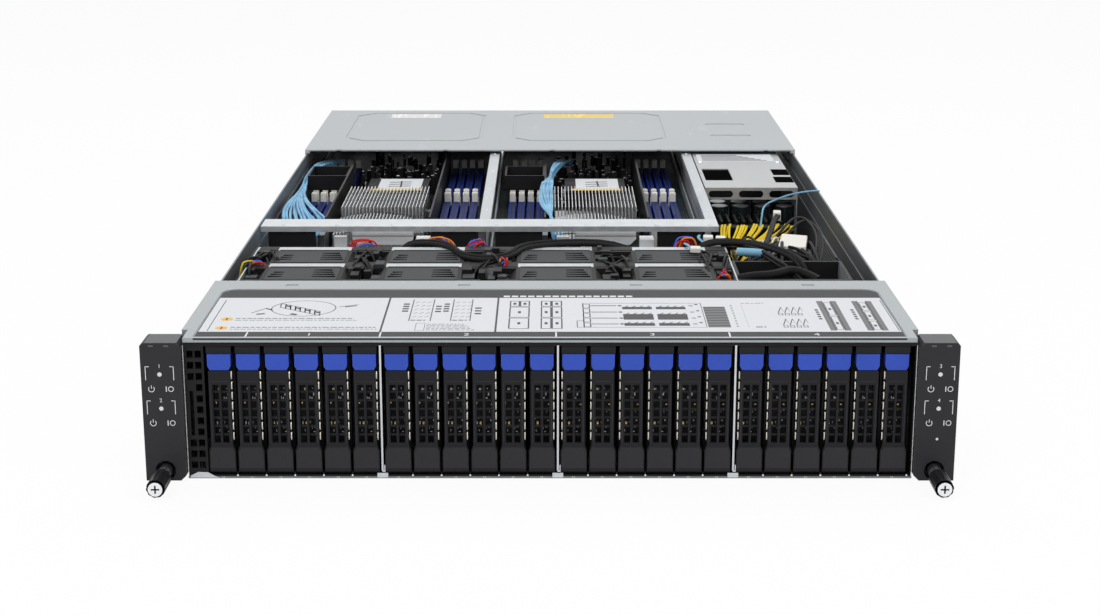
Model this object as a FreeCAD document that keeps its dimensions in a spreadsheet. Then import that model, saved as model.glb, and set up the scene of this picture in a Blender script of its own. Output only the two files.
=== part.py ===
"""A two-unit rack server with four node sleds, built as an assembly of its separate pieces.

The frame: X runs to the right seen from the front, Y to the rear and Z up, in millimetres.
The origin is the middle of the underside in the plane where the rack flanges meet the posts.
"""
import FreeCAD, Part
import math
import os
from types import SimpleNamespace

import Sketcher
from FreeCAD import Placement, Rotation, Vector

# ---------------------------------------------------------------------------------------------
# Driving sizes
# ---------------------------------------------------------------------------------------------

SIZES = {
    # Chassis
    "body_width": 438.0,        # over the side walls
    "body_height": 87.5,        # two rack units less their clearance
    "body_depth": 840.0,        # from the bay front to the rear edge
    "front_reach": 18.0,        # the bay front stands this far ahead of the rack plane
    "steel": 1.2,               # sheet of the chassis, covers and partitions
    "thin_steel": 1.0,          # sheet of the cages and sleds
    "wall_top": 84.0,           # top edge of the side walls
    "ridge_depth": 0.7,         # pressed stiffening ridges along the inner walls
    "ridge_low": 58.0,
    "ridge_high": 71.0,
    "ridge_height": 2.0,
    "gap": 0.4,                 # clearance beside a piece that slides
    # Rack flanges, ears and captive screws
    "flange_steel": 1.6,
    "flange_inset": 1.8,        # flange edge behind the ear's outer face
    "flange_base": 3.0,
    "flange_play": 0.6,         # flange hole round the screw
    "floor_slot": 18.0,         # vent slots in the floor under the sleds
    "floor_slot_pitch": 40.0,
    "ear_width": 24.0,          # brings the ears to the 482.6 of the nineteen-inch standard
    "ear_height": 85.4,
    "ear_proud": 4.0,           # ear face ahead of the bay front
    "ear_bevel": 3.2,
    "screw_inset": 11.8,        # axis of the captive screw from the ear's outer face
    "screw_height": 6.35,       # first hole of the rack standard
    "screw_thread": 2.4,
    "screw_tail": 9.0,          # thread behind the rack plane
    "screw_shank": 2.1,         # thinner than the thread, so that the sleeve holds the screw
    "screw_play": 0.05,
    "recess_radius": 6.0,
    "recess_depth": 7.0,
    "sleeve_radius": 3.7,
    "sleeve_reach": 12.0,       # sleeve ahead of the ear face
    "knob_radius": 5.6,
    "knob_length": 19.0,
    "head_radius": 4.2,
    "head_height": 1.6,
    "flute": 0.5,
    "cross_length": 5.0,
    "cross_width": 1.0,
    # Covers
    "cover_lap": 1.0,           # side flange of a cover outside the wall
    "cover_play": 0.2,
    "cover_rest": 0.3,
    "cover_skirt": 11.0,
    "hem": 3.0,                 # folded edge that rides on the wall top
    "front_cover_depth": 138.0,
    "rear_cover_start": 600.0,
    "panel_recess": 0.5,        # pressed field for the label
    "field_half_width": 211.0,
    "field_inset": 3.0,
    "field_reach": 116.0,
    "field_corner": 9.0,
    "boss_wide": 8.0,           # small pressed marks behind the label field
    "boss_deep": 5.0,
    "boss_pitch": 112.0,
    "press_corner": 16.0,       # pressed outlines of the rear cover
    "press_width": 3.0,
    "slot_wide": 38.0,
    "slot_deep": 9.0,
    "notch": 4.0,
    # Drive bays
    "cage_play": 0.2,           # cage inside the pressed ridges of the walls
    "cage_depth": 123.0,
    "vent_strip": 11.2,
    "vent_hole": 3.8,
    "vent_pitch": 6.9,
    "bay_pitch": 17.2,
    "group_pitch": 105.0,
    "first_group": -152.8,      # middle of the first group of bays
    "window_width": 68.0,       # air windows of the drive board
    "window_low": 50.0,
    "window_height": 24.0,
    "divider": 1.2,
    "guide_width": 0.6,
    "guide_height": 2.0,
    "carrier_width": 16.0,
    "carrier_base": 2.9,
    "face_plate": 1.6,
    "drive_start": 0.0,
    "drive_length": 100.0,
    "drive_width": 14.2,
    "drive_height": 69.8,
    "rail_height": 1.6,
    "upright": 4.0,
    "shoulder": 1.5,            # lever neck inside its foot, each side
    "pivot": 3.0,               # lever pivot behind its face and above its underside
    "foot_bevel": 1.5,
    "foot_height": 9.0,
    "foot_play": 0.7,
    "bar_depth": 1.2,
    "shoulder_low": 17.5,
    "shoulder_high": 21.0,
    "grille_low": 22.5,
    "grille_pitch": 5.35,
    "grille_bar": 1.3,
    "slot_width": 3.7,
    "mullion": 1.4,
    "lever_top": 67.2,
    "latch_top": 77.4,
    "latch_chamfer": 2.4,
    "latch_travel": 2.0,
    # Backplane behind the bays
    "backplane_place": 109.0,
    "board": 1.6,               # every circuit board
    "board_margin": 4.0,
    "plug_width": 6.4,
    "plug_length": 35.0,
    # Fans
    "fan_side": 80.0,
    "fan_depth": 38.0,
    "fan_start": 141.0,
    "row_pitch": 49.5,
    "rail_play": 0.8,
    "rail_drop": 9.0,
    "blocker_depth": 54.0,
    "blocker_right": 203.0,
    "fan_pitch": 80.8,
    "fan_pair_gap": 10.2,       # extra room between the second and the third fan
    "fan_inset": 50.0,          # middle of the first fan from the left wall
    "fan_base": 2.2,
    "fan_bore": 37.4,
    "fan_flange": 3.6,
    "fan_corner": 13.0,
    "hub_radius": 16.0,
    "hub_length": 27.0,
    "blade_reach": 35.6,
    "blade_slant": 7.0,
    "strut": 3.0,
    "blocker_wall": 1.8,
    "blocker_floor": 34.0,
    # Node bays
    "beam_start": 300.0,
    "beam_depth": 26.0,
    "beam_drop": 4.0,
    "beam_top": 83.8,
    "cap_width": 8.4,
    "cap_lip": 5.0,
    "sled_wall_play": 0.9,      # left sled to the left wall's ridges
    "sled_web_play": 0.6,       # left sled to the middle partition
    "right_sled_play": 2.8,
    "right_web_play": 2.1,
    "press_inset": 27.8,        # pressed outlines of the rear cover from the walls
    "press_margin": 14.0,       # and from the partitions
    "shelf_height": 43.0,
    "ledge": 6.0,
    "sled_start": 268.0,
    "sled_wall": 13.0,
    "panel_height": 38.2,
    "panel_notch": 6.4,
    "standoff": 3.0,
    "board_inset": 36.0,
    "blade_length": 14.0,
    "blade_base": 9.0,
    "midplane_top": 64.0,
    "header_depth": 11.0,       # sockets for the harnesses on the front of the midplane
    "header_top": 58.0,
    "port_base": 5.6,
    "port_depth": 16.0,
    "vent_slot": 14.0,
    "lever_stand": 12.0,
    "lever_height": 6.0,
    "socket_pitch": 7.8,
    "socket_width": 5.8,
    "socket_length": 145.0,
    "socket_height": 8.0,
    "latch_height": 15.0,
    "latch_length": 6.0,
    "front_bank": 374.0,
    "rear_bank": 527.0,
    "left_bank_inset": 25.6,    # middle of a bank from the edge of the sled
    "right_bank_inset": 25.8,
    "sink_width": 72.0,
    "sink_height": 24.0,
    "low_sink_height": 20.0,
    "tall_sink": 396.0,
    "tall_sink_length": 84.0,
    "low_sink": 330.0,
    "sink_plate": 3.4,
    "processor_height": 4.0,
    "fin": 0.8,
    "fin_pitch": 4.6,
    "baffle_height": 29.0,
    "baffle_wall": 1.5,
    "crate_depth": 44.0,
    "card_width": 52.0,         # covered card behind the tall heatsink
    "card_length": 54.0,
    "card_height": 19.0,
    "ribbon_thickness": 4.0,
    "ribbon_width": 5.0,
    # Power supplies
    "side_room": 13.7,          # between the supply cage and the right wall
    "cage_offset": 5.5,         # right partition to the supply cage
    "psu_width": 73.5,
    "psu_height": 38.8,
    "psu_length": 265.0,
    "cage_reach": 110.0,        # the supply cage begins this far ahead of the supplies
    "inlet_width": 27.0,
    "inlet_height": 19.6,
    "inlet_depth": 15.0,
    "psu_proud": 2.0,
    "handle_stand": 22.0,
    "shelf_inset": 60.0,
    "lip_drop": 9.0,
    "power_reach": 104.0,
    "power_stand": 28.0,
    "can_radius": 7.6,
    "can_height": 34.0,
    # Sleeved harnesses
    "harness_width": 7.8,       # a sleeve lies flat
    "harness_height": 3.9,
}

# Routes of the harnesses, corner by corner, and the longest cut of a corner by its arc.
BEND = 16.0
HARNESSES = {
    "centre_loop": [(70, 246, 58), (70, 246, 84.8), (-18, 246, 84.8), (-30, 196, 84.8), (-60, 196, 84.8),
                    (-72, 246, 84.8), (-112, 246, 84.8), (-112, 246, 58)],
    "blocker_lead": [(100, 246, 58), (100, 246, 84.8), (150, 246, 84.8), (182, 176, 84.8), (182, 176, 34)],
}


class Dim:
    """A length that knows its value and the spreadsheet formula it comes from."""

    def __init__(self, value, formula):
        self.value = float(value)
        self.formula = formula

    @staticmethod
    def of(thing):
        return thing if isinstance(thing, Dim) else Dim(thing, repr(float(thing)))

    def __add__(self, other):
        other = Dim.of(other)
        return Dim(self.value + other.value, f"({self.formula} + {other.formula})")

    def __radd__(self, other):
        return Dim.of(other) + self

    def __sub__(self, other):
        other = Dim.of(other)
        return Dim(self.value - other.value, f"({self.formula} - {other.formula})")

    def __rsub__(self, other):
        return Dim.of(other) - self

    def __mul__(self, other):
        other = Dim.of(other)
        return Dim(self.value * other.value, f"({self.formula} * {other.formula})")

    def __rmul__(self, other):
        return Dim.of(other) * self

    def __truediv__(self, other):
        other = Dim.of(other)
        return Dim(self.value / other.value, f"({self.formula} / {other.formula})")

    def __neg__(self):
        return Dim(-self.value, f"(-1 * {self.formula})")


doc = FreeCAD.newDocument("rack_server")
sheet = doc.addObject("Spreadsheet::Sheet", "sizes")
for row, (alias, number) in enumerate(SIZES.items(), start=1):
    sheet.set(f"A{row}", alias)
    sheet.set(f"B{row}", str(number))
    sheet.setAlias(f"B{row}", alias)
doc.recompute()
s = SimpleNamespace(**{alias: Dim(number, f"sizes.{alias}") for alias, number in SIZES.items()})


def derived(alias, size):
    """Keep a size that follows from others in the sheet, under an alias of its own."""
    line = len(SIZES) + len(FOLLOWS) + 1
    FOLLOWS.append(alias)
    sheet.set(f"A{line}", alias)
    sheet.set(f"B{line}", "=" + size.formula.replace("sizes.", ""))
    sheet.setAlias(f"B{line}", alias)
    return Dim(size.value, f"sizes.{alias}")


FOLLOWS = []
HALF = derived("half", s.body_width / 2)
INNER = derived("inner", HALF - s.steel)
FRONT = derived("front", -s.front_reach)
REAR = derived("rear", s.body_depth - s.front_reach)
EAR_FACE = derived("ear_face", FRONT - s.ear_proud)
CAGE_HALF = derived("cage_half", INNER - s.ridge_depth - s.cage_play)
EAR_OUTER = derived("ear_outer", CAGE_HALF + s.gap + s.ear_width)
SCREW_X = derived("screw_x", EAR_OUTER - s.screw_inset)
CAGE_TOP = derived("cage_top", s.wall_top - s.gap)
CARRIER_TOP = derived("carrier_top", CAGE_TOP - s.thin_steel - s.gap)
FAN_MIDDLE = derived("fan_middle", s.fan_base + s.fan_side / 2)
FIRST_FAN = derived("first_fan", s.fan_inset - INNER)

# Across the node bays. The supplies stand by the right wall, and the two sleds share what is
# left between them and the left wall.
CAGE_WIDTH = s.psu_width + s.gap * 2 + s.thin_steel * 2
PSU_LEFT = derived("psu_left", INNER - s.side_room - CAGE_WIDTH)
CAGE_START = derived("cage_start", REAR + s.psu_proud - s.psu_length - s.cage_reach)
RIGHT_WEB = derived("right_web", PSU_LEFT - s.cage_offset)
SLED_SPACE = RIGHT_WEB + INNER - s.ridge_depth - s.steel * 1.5
SLED_PLAY = s.sled_wall_play + s.sled_web_play + s.right_sled_play + s.right_web_play
SLED_WIDTH = derived("sled_width", (SLED_SPACE - SLED_PLAY) / 2)
LEFT_SLED = derived("left_sled", SLED_WIDTH / 2 + s.ridge_depth + s.sled_wall_play - INNER)
CENTRE_WEB = derived("centre_web", LEFT_SLED + SLED_WIDTH / 2 + s.sled_web_play + s.steel / 2)
RIGHT_SLED = derived("right_sled", CENTRE_WEB + s.steel / 2 + s.right_sled_play + SLED_WIDTH / 2)
LEFT_BANKS = derived("left_banks", s.left_bank_inset - SLED_WIDTH / 2)
RIGHT_BANKS = derived("right_banks", SLED_WIDTH / 2 - s.right_bank_inset)
doc.recompute()

# ---------------------------------------------------------------------------------------------
# Modelling steps
# ---------------------------------------------------------------------------------------------

PLANES = {"X": "YZ_Plane", "Y": "XZ_Plane", "Z": "XY_Plane"}
nodes = []


def bind(thing, path, size):
    """Tie one property of an object to the sheet."""
    size = Dim.of(size)
    thing.setExpression(path, size.formula)


def place(thing, x=0, y=0, z=0):
    """Tie the place of an object to the sheet."""
    for letter, size in (("x", x), ("y", y), ("z", z)):
        thing.setExpression(f"Placement.Base.{letter}", Dim.of(size).formula)


def new_body(name):
    """Start one solid piece."""
    body = doc.addObject("PartDesign::Body", name)
    body.AllowCompound = True
    return body


def datum(body, role):
    """Find an origin plane or axis of a body."""
    return next(part for part in body.Origin.OriginFeatures if part.Role == role)


def draw_loop(sketch, corners):
    """Draw a closed outline of straight lines with every corner tied to the sheet."""
    corners = [(Dim.of(a), Dim.of(b)) for a, b in corners]
    first = sketch.GeometryCount
    count = len(corners)
    for index, (a, b) in enumerate(corners):
        c, d = corners[(index + 1) % count]
        line = Part.LineSegment(Vector(a.value, b.value, 0), Vector(c.value, d.value, 0))
        sketch.addGeometry(line)
    for index in range(count):
        joint = Sketcher.Constraint("Coincident", first + index, 2, first + (index + 1) % count, 1)
        sketch.addConstraint(joint)
    for index, corner in enumerate(corners):
        for kind, size in zip(("DistanceX", "DistanceY"), corner):
            rule = Sketcher.Constraint(kind, -1, 1, first + index, 1, size.value)
            number = sketch.addConstraint(rule)
            sketch.setExpression(f"Constraints[{number}]", size.formula)


def draw_circle(sketch, a, b, radius):
    """Draw a circle whose centre and radius are tied to the sheet."""
    a, b, radius = Dim.of(a), Dim.of(b), Dim.of(radius)
    ring = Part.Circle(Vector(a.value, b.value, 0), Vector(0, 0, 1), radius.value)
    number = sketch.addGeometry(ring)
    for kind, size in (("DistanceX", a), ("DistanceY", b)):
        rule = sketch.addConstraint(Sketcher.Constraint(kind, -1, 1, number, 3, size.value))
        sketch.setExpression(f"Constraints[{rule}]", size.formula)
    rule = sketch.addConstraint(Sketcher.Constraint("Radius", number, radius.value))
    sketch.setExpression(f"Constraints[{rule}]", radius.formula)


def new_sketch(body, axis, loops, offset=0):
    """Draw loops on the origin plane across an axis, moved along the plane's normal."""
    sketch = body.newObject("Sketcher::SketchObject", "outline")
    sketch.AttachmentSupport = [(datum(body, PLANES[axis]), "")]
    sketch.MapMode = "FlatFace"
    sketch.setExpression("AttachmentOffset.Base.z", Dim.of(offset).formula)
    for loop in loops:
        if isinstance(loop, list):
            draw_loop(sketch, loop)
        else:
            draw_circle(sketch, *loop)
    return sketch


def add(body, axis, loops, low, high):
    """Pad outlines between two places on an axis. The plane across Y faces the front."""
    low, high = Dim.of(low), Dim.of(high)
    sketch = new_sketch(body, axis, loops, -high if axis == "Y" else low)
    pad = body.newObject("PartDesign::Pad", "pad")
    pad.Profile = sketch
    bind(pad, "Length", high - low)
    sketch.Visibility = False
    return pad


def cut(body, axis, loops, low, high):
    """Pocket outlines between two places on an axis."""
    low, high = Dim.of(low), Dim.of(high)
    sketch = new_sketch(body, axis, loops, -low if axis == "Y" else high)
    pocket = body.newObject("PartDesign::Pocket", "pocket")
    pocket.Profile = sketch
    bind(pocket, "Length", high - low)
    sketch.Visibility = False
    return pocket


def repeat(body, feature, axis, pitch, count, axis2=None, pitch2=0, count2=1):
    """Repeat a feature in a row, or in a grid of rows."""
    pattern = body.newObject("PartDesign::LinearPattern", "row")
    pattern.Originals = [feature]
    pattern.Direction = (datum(body, f"{axis}_Axis"), [""])
    bind(pattern, "Length", Dim.of(pitch) * (count - 1))
    pattern.Occurrences = count
    if axis2:
        pattern.Direction2 = (datum(body, f"{axis2}_Axis"), [""])
        bind(pattern, "Length2", Dim.of(pitch2) * (count2 - 1))
        pattern.Occurrences2 = count2
    body.Tip = pattern
    return pattern


def around(body, feature, axis, count):
    """Repeat a feature around an axis of the body."""
    pattern = body.newObject("PartDesign::PolarPattern", "ring")
    pattern.Originals = [feature]
    pattern.Axis = (datum(body, f"{axis}_Axis"), [""])
    pattern.Angle = 360
    pattern.Occurrences = count
    body.Tip = pattern
    return pattern


def turned(name, profile):
    """Turn a profile of (place along Y, radius) corners about the Y axis of a new body."""
    body = new_body(name)
    sketch = new_sketch(body, "X", [profile])
    spin = body.newObject("PartDesign::Revolution", "turn")
    spin.Profile = sketch
    spin.ReferenceAxis = (sketch, ["H_Axis"])
    spin.Angle = 360
    sketch.Visibility = False
    return body


def box(name, x, y, z):
    """Make a block from its (low, high) places on each axis."""
    block = doc.addObject("Part::Box", name)
    for path, (low, high) in zip(("Length", "Width", "Height"), (x, y, z)):
        bind(block, path, Dim.of(high) - low)
    place(block, x[0], y[0], z[0])
    return block


def group(name, pieces, x=0, y=0, z=0):
    """Hold several pieces together, each as its own solid, at a place of the whole."""
    whole = doc.addObject("Part::Compound", name)
    whole.Links = pieces
    place(whole, x, y, z)
    return whole


def node(name, *pieces, x=0, y=0, z=0):
    """Name one sub-part of the assembly."""
    whole = group(name, list(pieces), x, y, z)
    whole.Label = name
    nodes.append(whole)
    return whole


def rect(x0, x1, y0, y1):
    """Corners of a rectangle."""
    return [(x0, y0), (x1, y0), (x1, y1), (x0, y1)]


def bevelled(x0, x1, y0, y1, corner):
    """Corners of a rectangle with its four corners cut off."""
    return [(x0 + corner, y0), (x1 - corner, y0), (x1, y0 + corner), (x1, y1 - corner),
            (x1 - corner, y1), (x0 + corner, y1), (x0, y1 - corner), (x0, y0 + corner)]


def mirrored(corners):
    """The same outline on the other side of the middle plane."""
    return [(-Dim.of(x), y) for x, y in reversed(corners)]


def many_sided(radius, sides):
    """Corners of a regular polygon whose flat sides lie on a circle round the origin."""
    reach = 1 / math.cos(math.pi / sides)
    corners = []
    for index in range(sides):
        angle = 2 * math.pi * (index + 0.5) / sides + math.pi / 2
        corners.append((radius * (reach * math.cos(angle)), radius * (reach * math.sin(angle))))
    return corners


def moved(corners, x, y):
    """The same outline at another place of its sketch."""
    return [(x + a, y + b) for a, b in corners]


# ---------------------------------------------------------------------------------------------
# Chassis, ears and captive screws
# ---------------------------------------------------------------------------------------------


def build_chassis():
    """The folded tray: floor, two side walls with pressed ridges, and the rack flanges."""
    tray = new_body("tray")
    ridge = INNER - s.ridge_depth
    wall = [(HALF, 0), (HALF, s.wall_top), (INNER, s.wall_top)]
    for top in (s.ridge_high, s.ridge_low):
        wall += [(INNER, top), (ridge, top), (ridge, top - s.ridge_height), (INNER, top - s.ridge_height)]
    wall += [(INNER, s.steel)]
    add(tray, "Y", [wall + mirrored(wall)], -s.flange_steel, REAR)
    add(tray, "Y", [rect(-CAGE_HALF, CAGE_HALF, 0, s.steel)], FRONT, -s.flange_steel)
    edge = EAR_OUTER - s.flange_inset
    right = rect(INNER, edge, s.flange_base, s.body_height - s.cover_skirt - s.gap)
    for outline in (right, mirrored(right)):
        add(tray, "Y", [outline], -s.flange_steel, 0)
    bore = many_sided(s.screw_thread + s.flange_play, 12)
    cut(tray, "Y", [moved(bore, SCREW_X, s.screw_height), moved(bore, -SCREW_X, s.screw_height)],
        -s.flange_steel, 0)
    first = -s.floor_slot_pitch * 2.5 - s.floor_slot / 2
    slot = cut(tray, "Z", [rect(first, first + s.floor_slot, REAR - 132, REAR - 126)], 0, s.steel)
    repeat(tray, slot, "X", s.floor_slot_pitch, 6)
    node("chassis_tray", tray)


def build_ear(side, name):
    """A moulded ear over the rack flange, with a recess and a sleeve for the captive screw."""
    inner, outer = CAGE_HALF + s.gap, EAR_OUTER
    bevel = s.ear_bevel
    face = [(inner, bevel), (inner + bevel, 0), (outer, 0), (outer, s.ear_height - bevel / 2),
            (outer - bevel / 2, s.ear_height), (inner + bevel, s.ear_height),
            (inner, s.ear_height - bevel)]
    shell = new_body("ear")
    add(shell, "Y", [face if side > 0 else mirrored(face)], EAR_FACE, -s.flange_steel)
    middle = side * SCREW_X
    well = moved(many_sided(s.recess_radius, 12), middle, s.screw_height)
    cut(shell, "Y", [well], EAR_FACE, EAR_FACE + s.recess_depth)
    seat = moved(many_sided(s.sleeve_radius, 8), middle, s.screw_height)
    cut(shell, "Y", [seat], EAR_FACE + s.recess_depth, -s.flange_steel)
    sleeve = new_body("sleeve")
    add(sleeve, "Y", [many_sided(s.sleeve_radius, 8), many_sided(s.screw_shank + s.screw_play, 12)],
        EAR_FACE - s.sleeve_reach, -s.flange_steel)
    place(sleeve, middle, 0, s.screw_height)
    node(name, shell, sleeve)


def build_screw(side, name):
    """The captive screw: shank and thread, a fluted knob and a cross-recess head."""
    back = EAR_FACE - s.sleeve_reach - s.gap
    front = back - s.knob_length
    body = new_body("screw")
    add(body, "Y", [(0, 0, s.screw_shank)], back, 0)
    add(body, "Y", [(0, 0, s.screw_thread)], 0, s.screw_tail)
    flutes = []
    for index in range(10):
        for turn, depth in ((0.0, 0.0), (0.35, 0.0), (0.68, s.flute)):
            angle = 2 * math.pi * (index + turn) / 10
            reach = s.knob_radius - depth
            flutes.append((reach * math.cos(angle), reach * math.sin(angle)))
    add(body, "Y", [flutes], front, back)
    add(body, "Y", [many_sided(s.head_radius, 12)], front - s.head_height, front)
    long, wide = s.cross_length / 2, s.cross_width / 2
    cross = [(wide, wide), (wide, long), (-wide, long), (-wide, wide), (-long, wide), (-long, -wide),
             (-wide, -wide), (-wide, -long), (wide, -long), (wide, -wide), (long, -wide), (long, wide)]
    cut(body, "Y", [cross], front - s.head_height, front)
    node(name, body, x=side * SCREW_X, z=s.screw_height)


# ---------------------------------------------------------------------------------------------
# Covers
# ---------------------------------------------------------------------------------------------


def cover_profile():
    """A cover across the chassis: side skirts outside the walls, and hems on the wall tops."""
    skirt = s.body_height - s.cover_skirt
    outside = HALF + s.cover_play + s.cover_lap
    slot = HALF + s.cover_play
    hem = HALF - s.hem
    under = s.body_height - s.steel
    right = [(slot, skirt), (outside, skirt), (outside, s.body_height)]
    rest = s.wall_top + s.cover_rest
    right_in = [(hem, under), (hem, rest), (slot, rest)]
    return right + mirrored(right) + mirrored(right_in) + right_in


def build_front_cover():
    """The bay cover: notched between the ears, with a folded lip and a pressed label field."""
    cover = new_body("bay_cover")
    start = s.gap
    top = s.body_height
    under = top - s.steel
    tongue = CAGE_HALF - s.gap
    add(cover, "Y", [cover_profile()], start, FRONT + s.front_cover_depth)
    add(cover, "Y", [rect(-tongue, tongue, under, top)], FRONT, start)
    add(cover, "Y", [rect(-tongue, tongue, CAGE_TOP + s.gap, under)], FRONT, FRONT + s.steel)
    side, corner = s.field_half_width, s.field_corner
    near, far = FRONT + s.field_inset, FRONT + s.field_reach
    field = [(-side, near), (side, near), (side, far - corner),
             (side - corner * 0.3, far - corner * 0.3), (side - corner, far),
             (-side + corner, far), (-side + corner * 0.3, far - corner * 0.3), (-side, far - corner)]
    cut(cover, "Z", [field], top - s.panel_recess, top)
    left = -s.boss_pitch * 1.5 - s.boss_wide / 2
    boss = cut(cover, "Z", [rect(left, left + s.boss_wide, far + 7, far + 7 + s.boss_deep)],
               top - s.panel_recess, top)
    repeat(cover, boss, "X", s.boss_pitch, 4)
    node("front_cover", cover)


def build_rear_cover():
    """The rear cover, with a pressed outline over each node bay and two slots over the supplies."""
    cover = new_body("rear_lid")
    top = s.body_height
    start = s.rear_cover_start
    add(cover, "Y", [cover_profile()], start, REAR)
    low, high = start + 46, REAR - 16
    corner, groove = s.press_corner, s.press_width
    margin = s.press_margin
    for left, right in ((s.press_inset - INNER, CENTRE_WEB - margin),
                        (CENTRE_WEB + margin, RIGHT_WEB - margin)):
        outer = bevelled(left, right, low, high, corner)
        inner = bevelled(left + groove, right - groove, low + groove, high - groove, corner - groove / 3)
        cut(cover, "Z", [outer, inner], top - s.panel_recess, top)
    near = REAR - 152
    slot = cut(cover, "Z", [bevelled(PSU_LEFT + 22.2, PSU_LEFT + 22.2 + s.slot_wide, near, near + s.slot_deep, 3)],
               top - s.panel_recess, top)
    repeat(cover, slot, "Y", 63, 2)
    left = s.press_inset - INNER - 2
    notch = cut(cover, "Z", [rect(left, left + s.notch, start, start + s.notch / 2)], top - s.steel, top)
    repeat(cover, notch, "X", 96, 5)
    node("rear_cover", cover)


# ---------------------------------------------------------------------------------------------
# Drive bays
# ---------------------------------------------------------------------------------------------


def bay_middle(index):
    """Place of a drive bay: four groups of six."""
    cluster, place_in = divmod(index, 6)
    return s.first_group + s.group_pitch * cluster + s.bay_pitch * (place_in - 2.5)


def build_drive_cage():
    """The sheet cage round the drive bays, with its dividers, guides and end vent."""
    cage = new_body("cage")
    sheet_metal = s.thin_steel
    low, high = s.steel, CAGE_TOP
    floor, ceiling = low + sheet_metal, high - sheet_metal
    rear = FRONT + s.cage_depth
    shell = rect(-CAGE_HALF, CAGE_HALF, low, high)
    hollow = rect(-CAGE_HALF + sheet_metal, CAGE_HALF - sheet_metal, floor, ceiling)
    add(cage, "Y", [shell, hollow], FRONT, rear)
    middle = s.first_group + s.group_pitch / 2
    plate = add(cage, "Y", [rect(middle - s.divider / 2, middle + s.divider / 2, floor, ceiling)],
                FRONT, rear)
    repeat(cage, plate, "X", s.group_pitch, 3)
    edge = bay_middle(0) + s.bay_pitch / 2
    half = s.guide_width / 2
    guide = add(cage, "Y", [rect(edge - half, edge + half, floor, floor + s.guide_height)],
                FRONT, rear)
    repeat(cage, guide, "X", s.bay_pitch, 5, "X", s.group_pitch, 4)
    vent = new_body("end_vent")
    left = -CAGE_HALF + sheet_metal
    near, far = FRONT + 0.5, FRONT + 3
    add(vent, "Y", [rect(left, left + s.vent_strip, floor, ceiling)], near, far)
    hole, pitch, column = s.vent_hole, s.vent_pitch, left + s.vent_strip - s.vent_hole - 1.4
    square = cut(vent, "Y", [rect(column, column + hole, floor + 4, floor + 8.4)], near, far)
    repeat(vent, square, "Z", pitch, 11)
    column = left + 1.2
    for base in (floor + 4, floor + 4 + pitch * 8):
        square = cut(vent, "Y", [rect(column, column + hole, base, base + 4.4)], near, far)
        repeat(vent, square, "Z", pitch, 3)
    cut(vent, "Y", [rect(column + 0.8, column + hole - 0.8, floor + 4 + pitch * 3, floor + pitch * 7.6)],
        near, far)
    node("drive_cage", cage, vent)


def build_backplane():
    """The board behind the drives, with one socket per bay and power sockets behind."""
    start = s.backplane_place
    board = new_body("drive_board")
    edge = CAGE_HALF - s.board_margin
    add(board, "Y", [rect(-edge, edge, s.steel, CAGE_TOP - 3)], start, start + s.board)
    left = s.first_group - s.window_width / 2 - 1.2
    window = cut(board, "Y", [rect(left, left + s.window_width, s.window_low, s.window_low + s.window_height)],
                 start, start + s.board)
    repeat(board, window, "X", s.group_pitch, 4)
    sockets = new_body("drive_sockets")
    middle = bay_middle(0)
    near = s.drive_start + s.drive_length + s.gap
    half = s.plug_width / 2
    socket = add(sockets, "Y", [rect(middle - half, middle + half, 9, 9 + s.plug_length)], near, start)
    repeat(sockets, socket, "X", s.bay_pitch, 6, "X", s.group_pitch, 4)
    power = new_body("power_sockets")
    plug = add(power, "Y", [rect(s.first_group - 13.2, s.first_group + 10.8, 12, 24)], start + s.board, start + s.board + 11)
    repeat(power, plug, "X", s.group_pitch, 4)
    node("drive_backplane", board, sockets, power)


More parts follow.
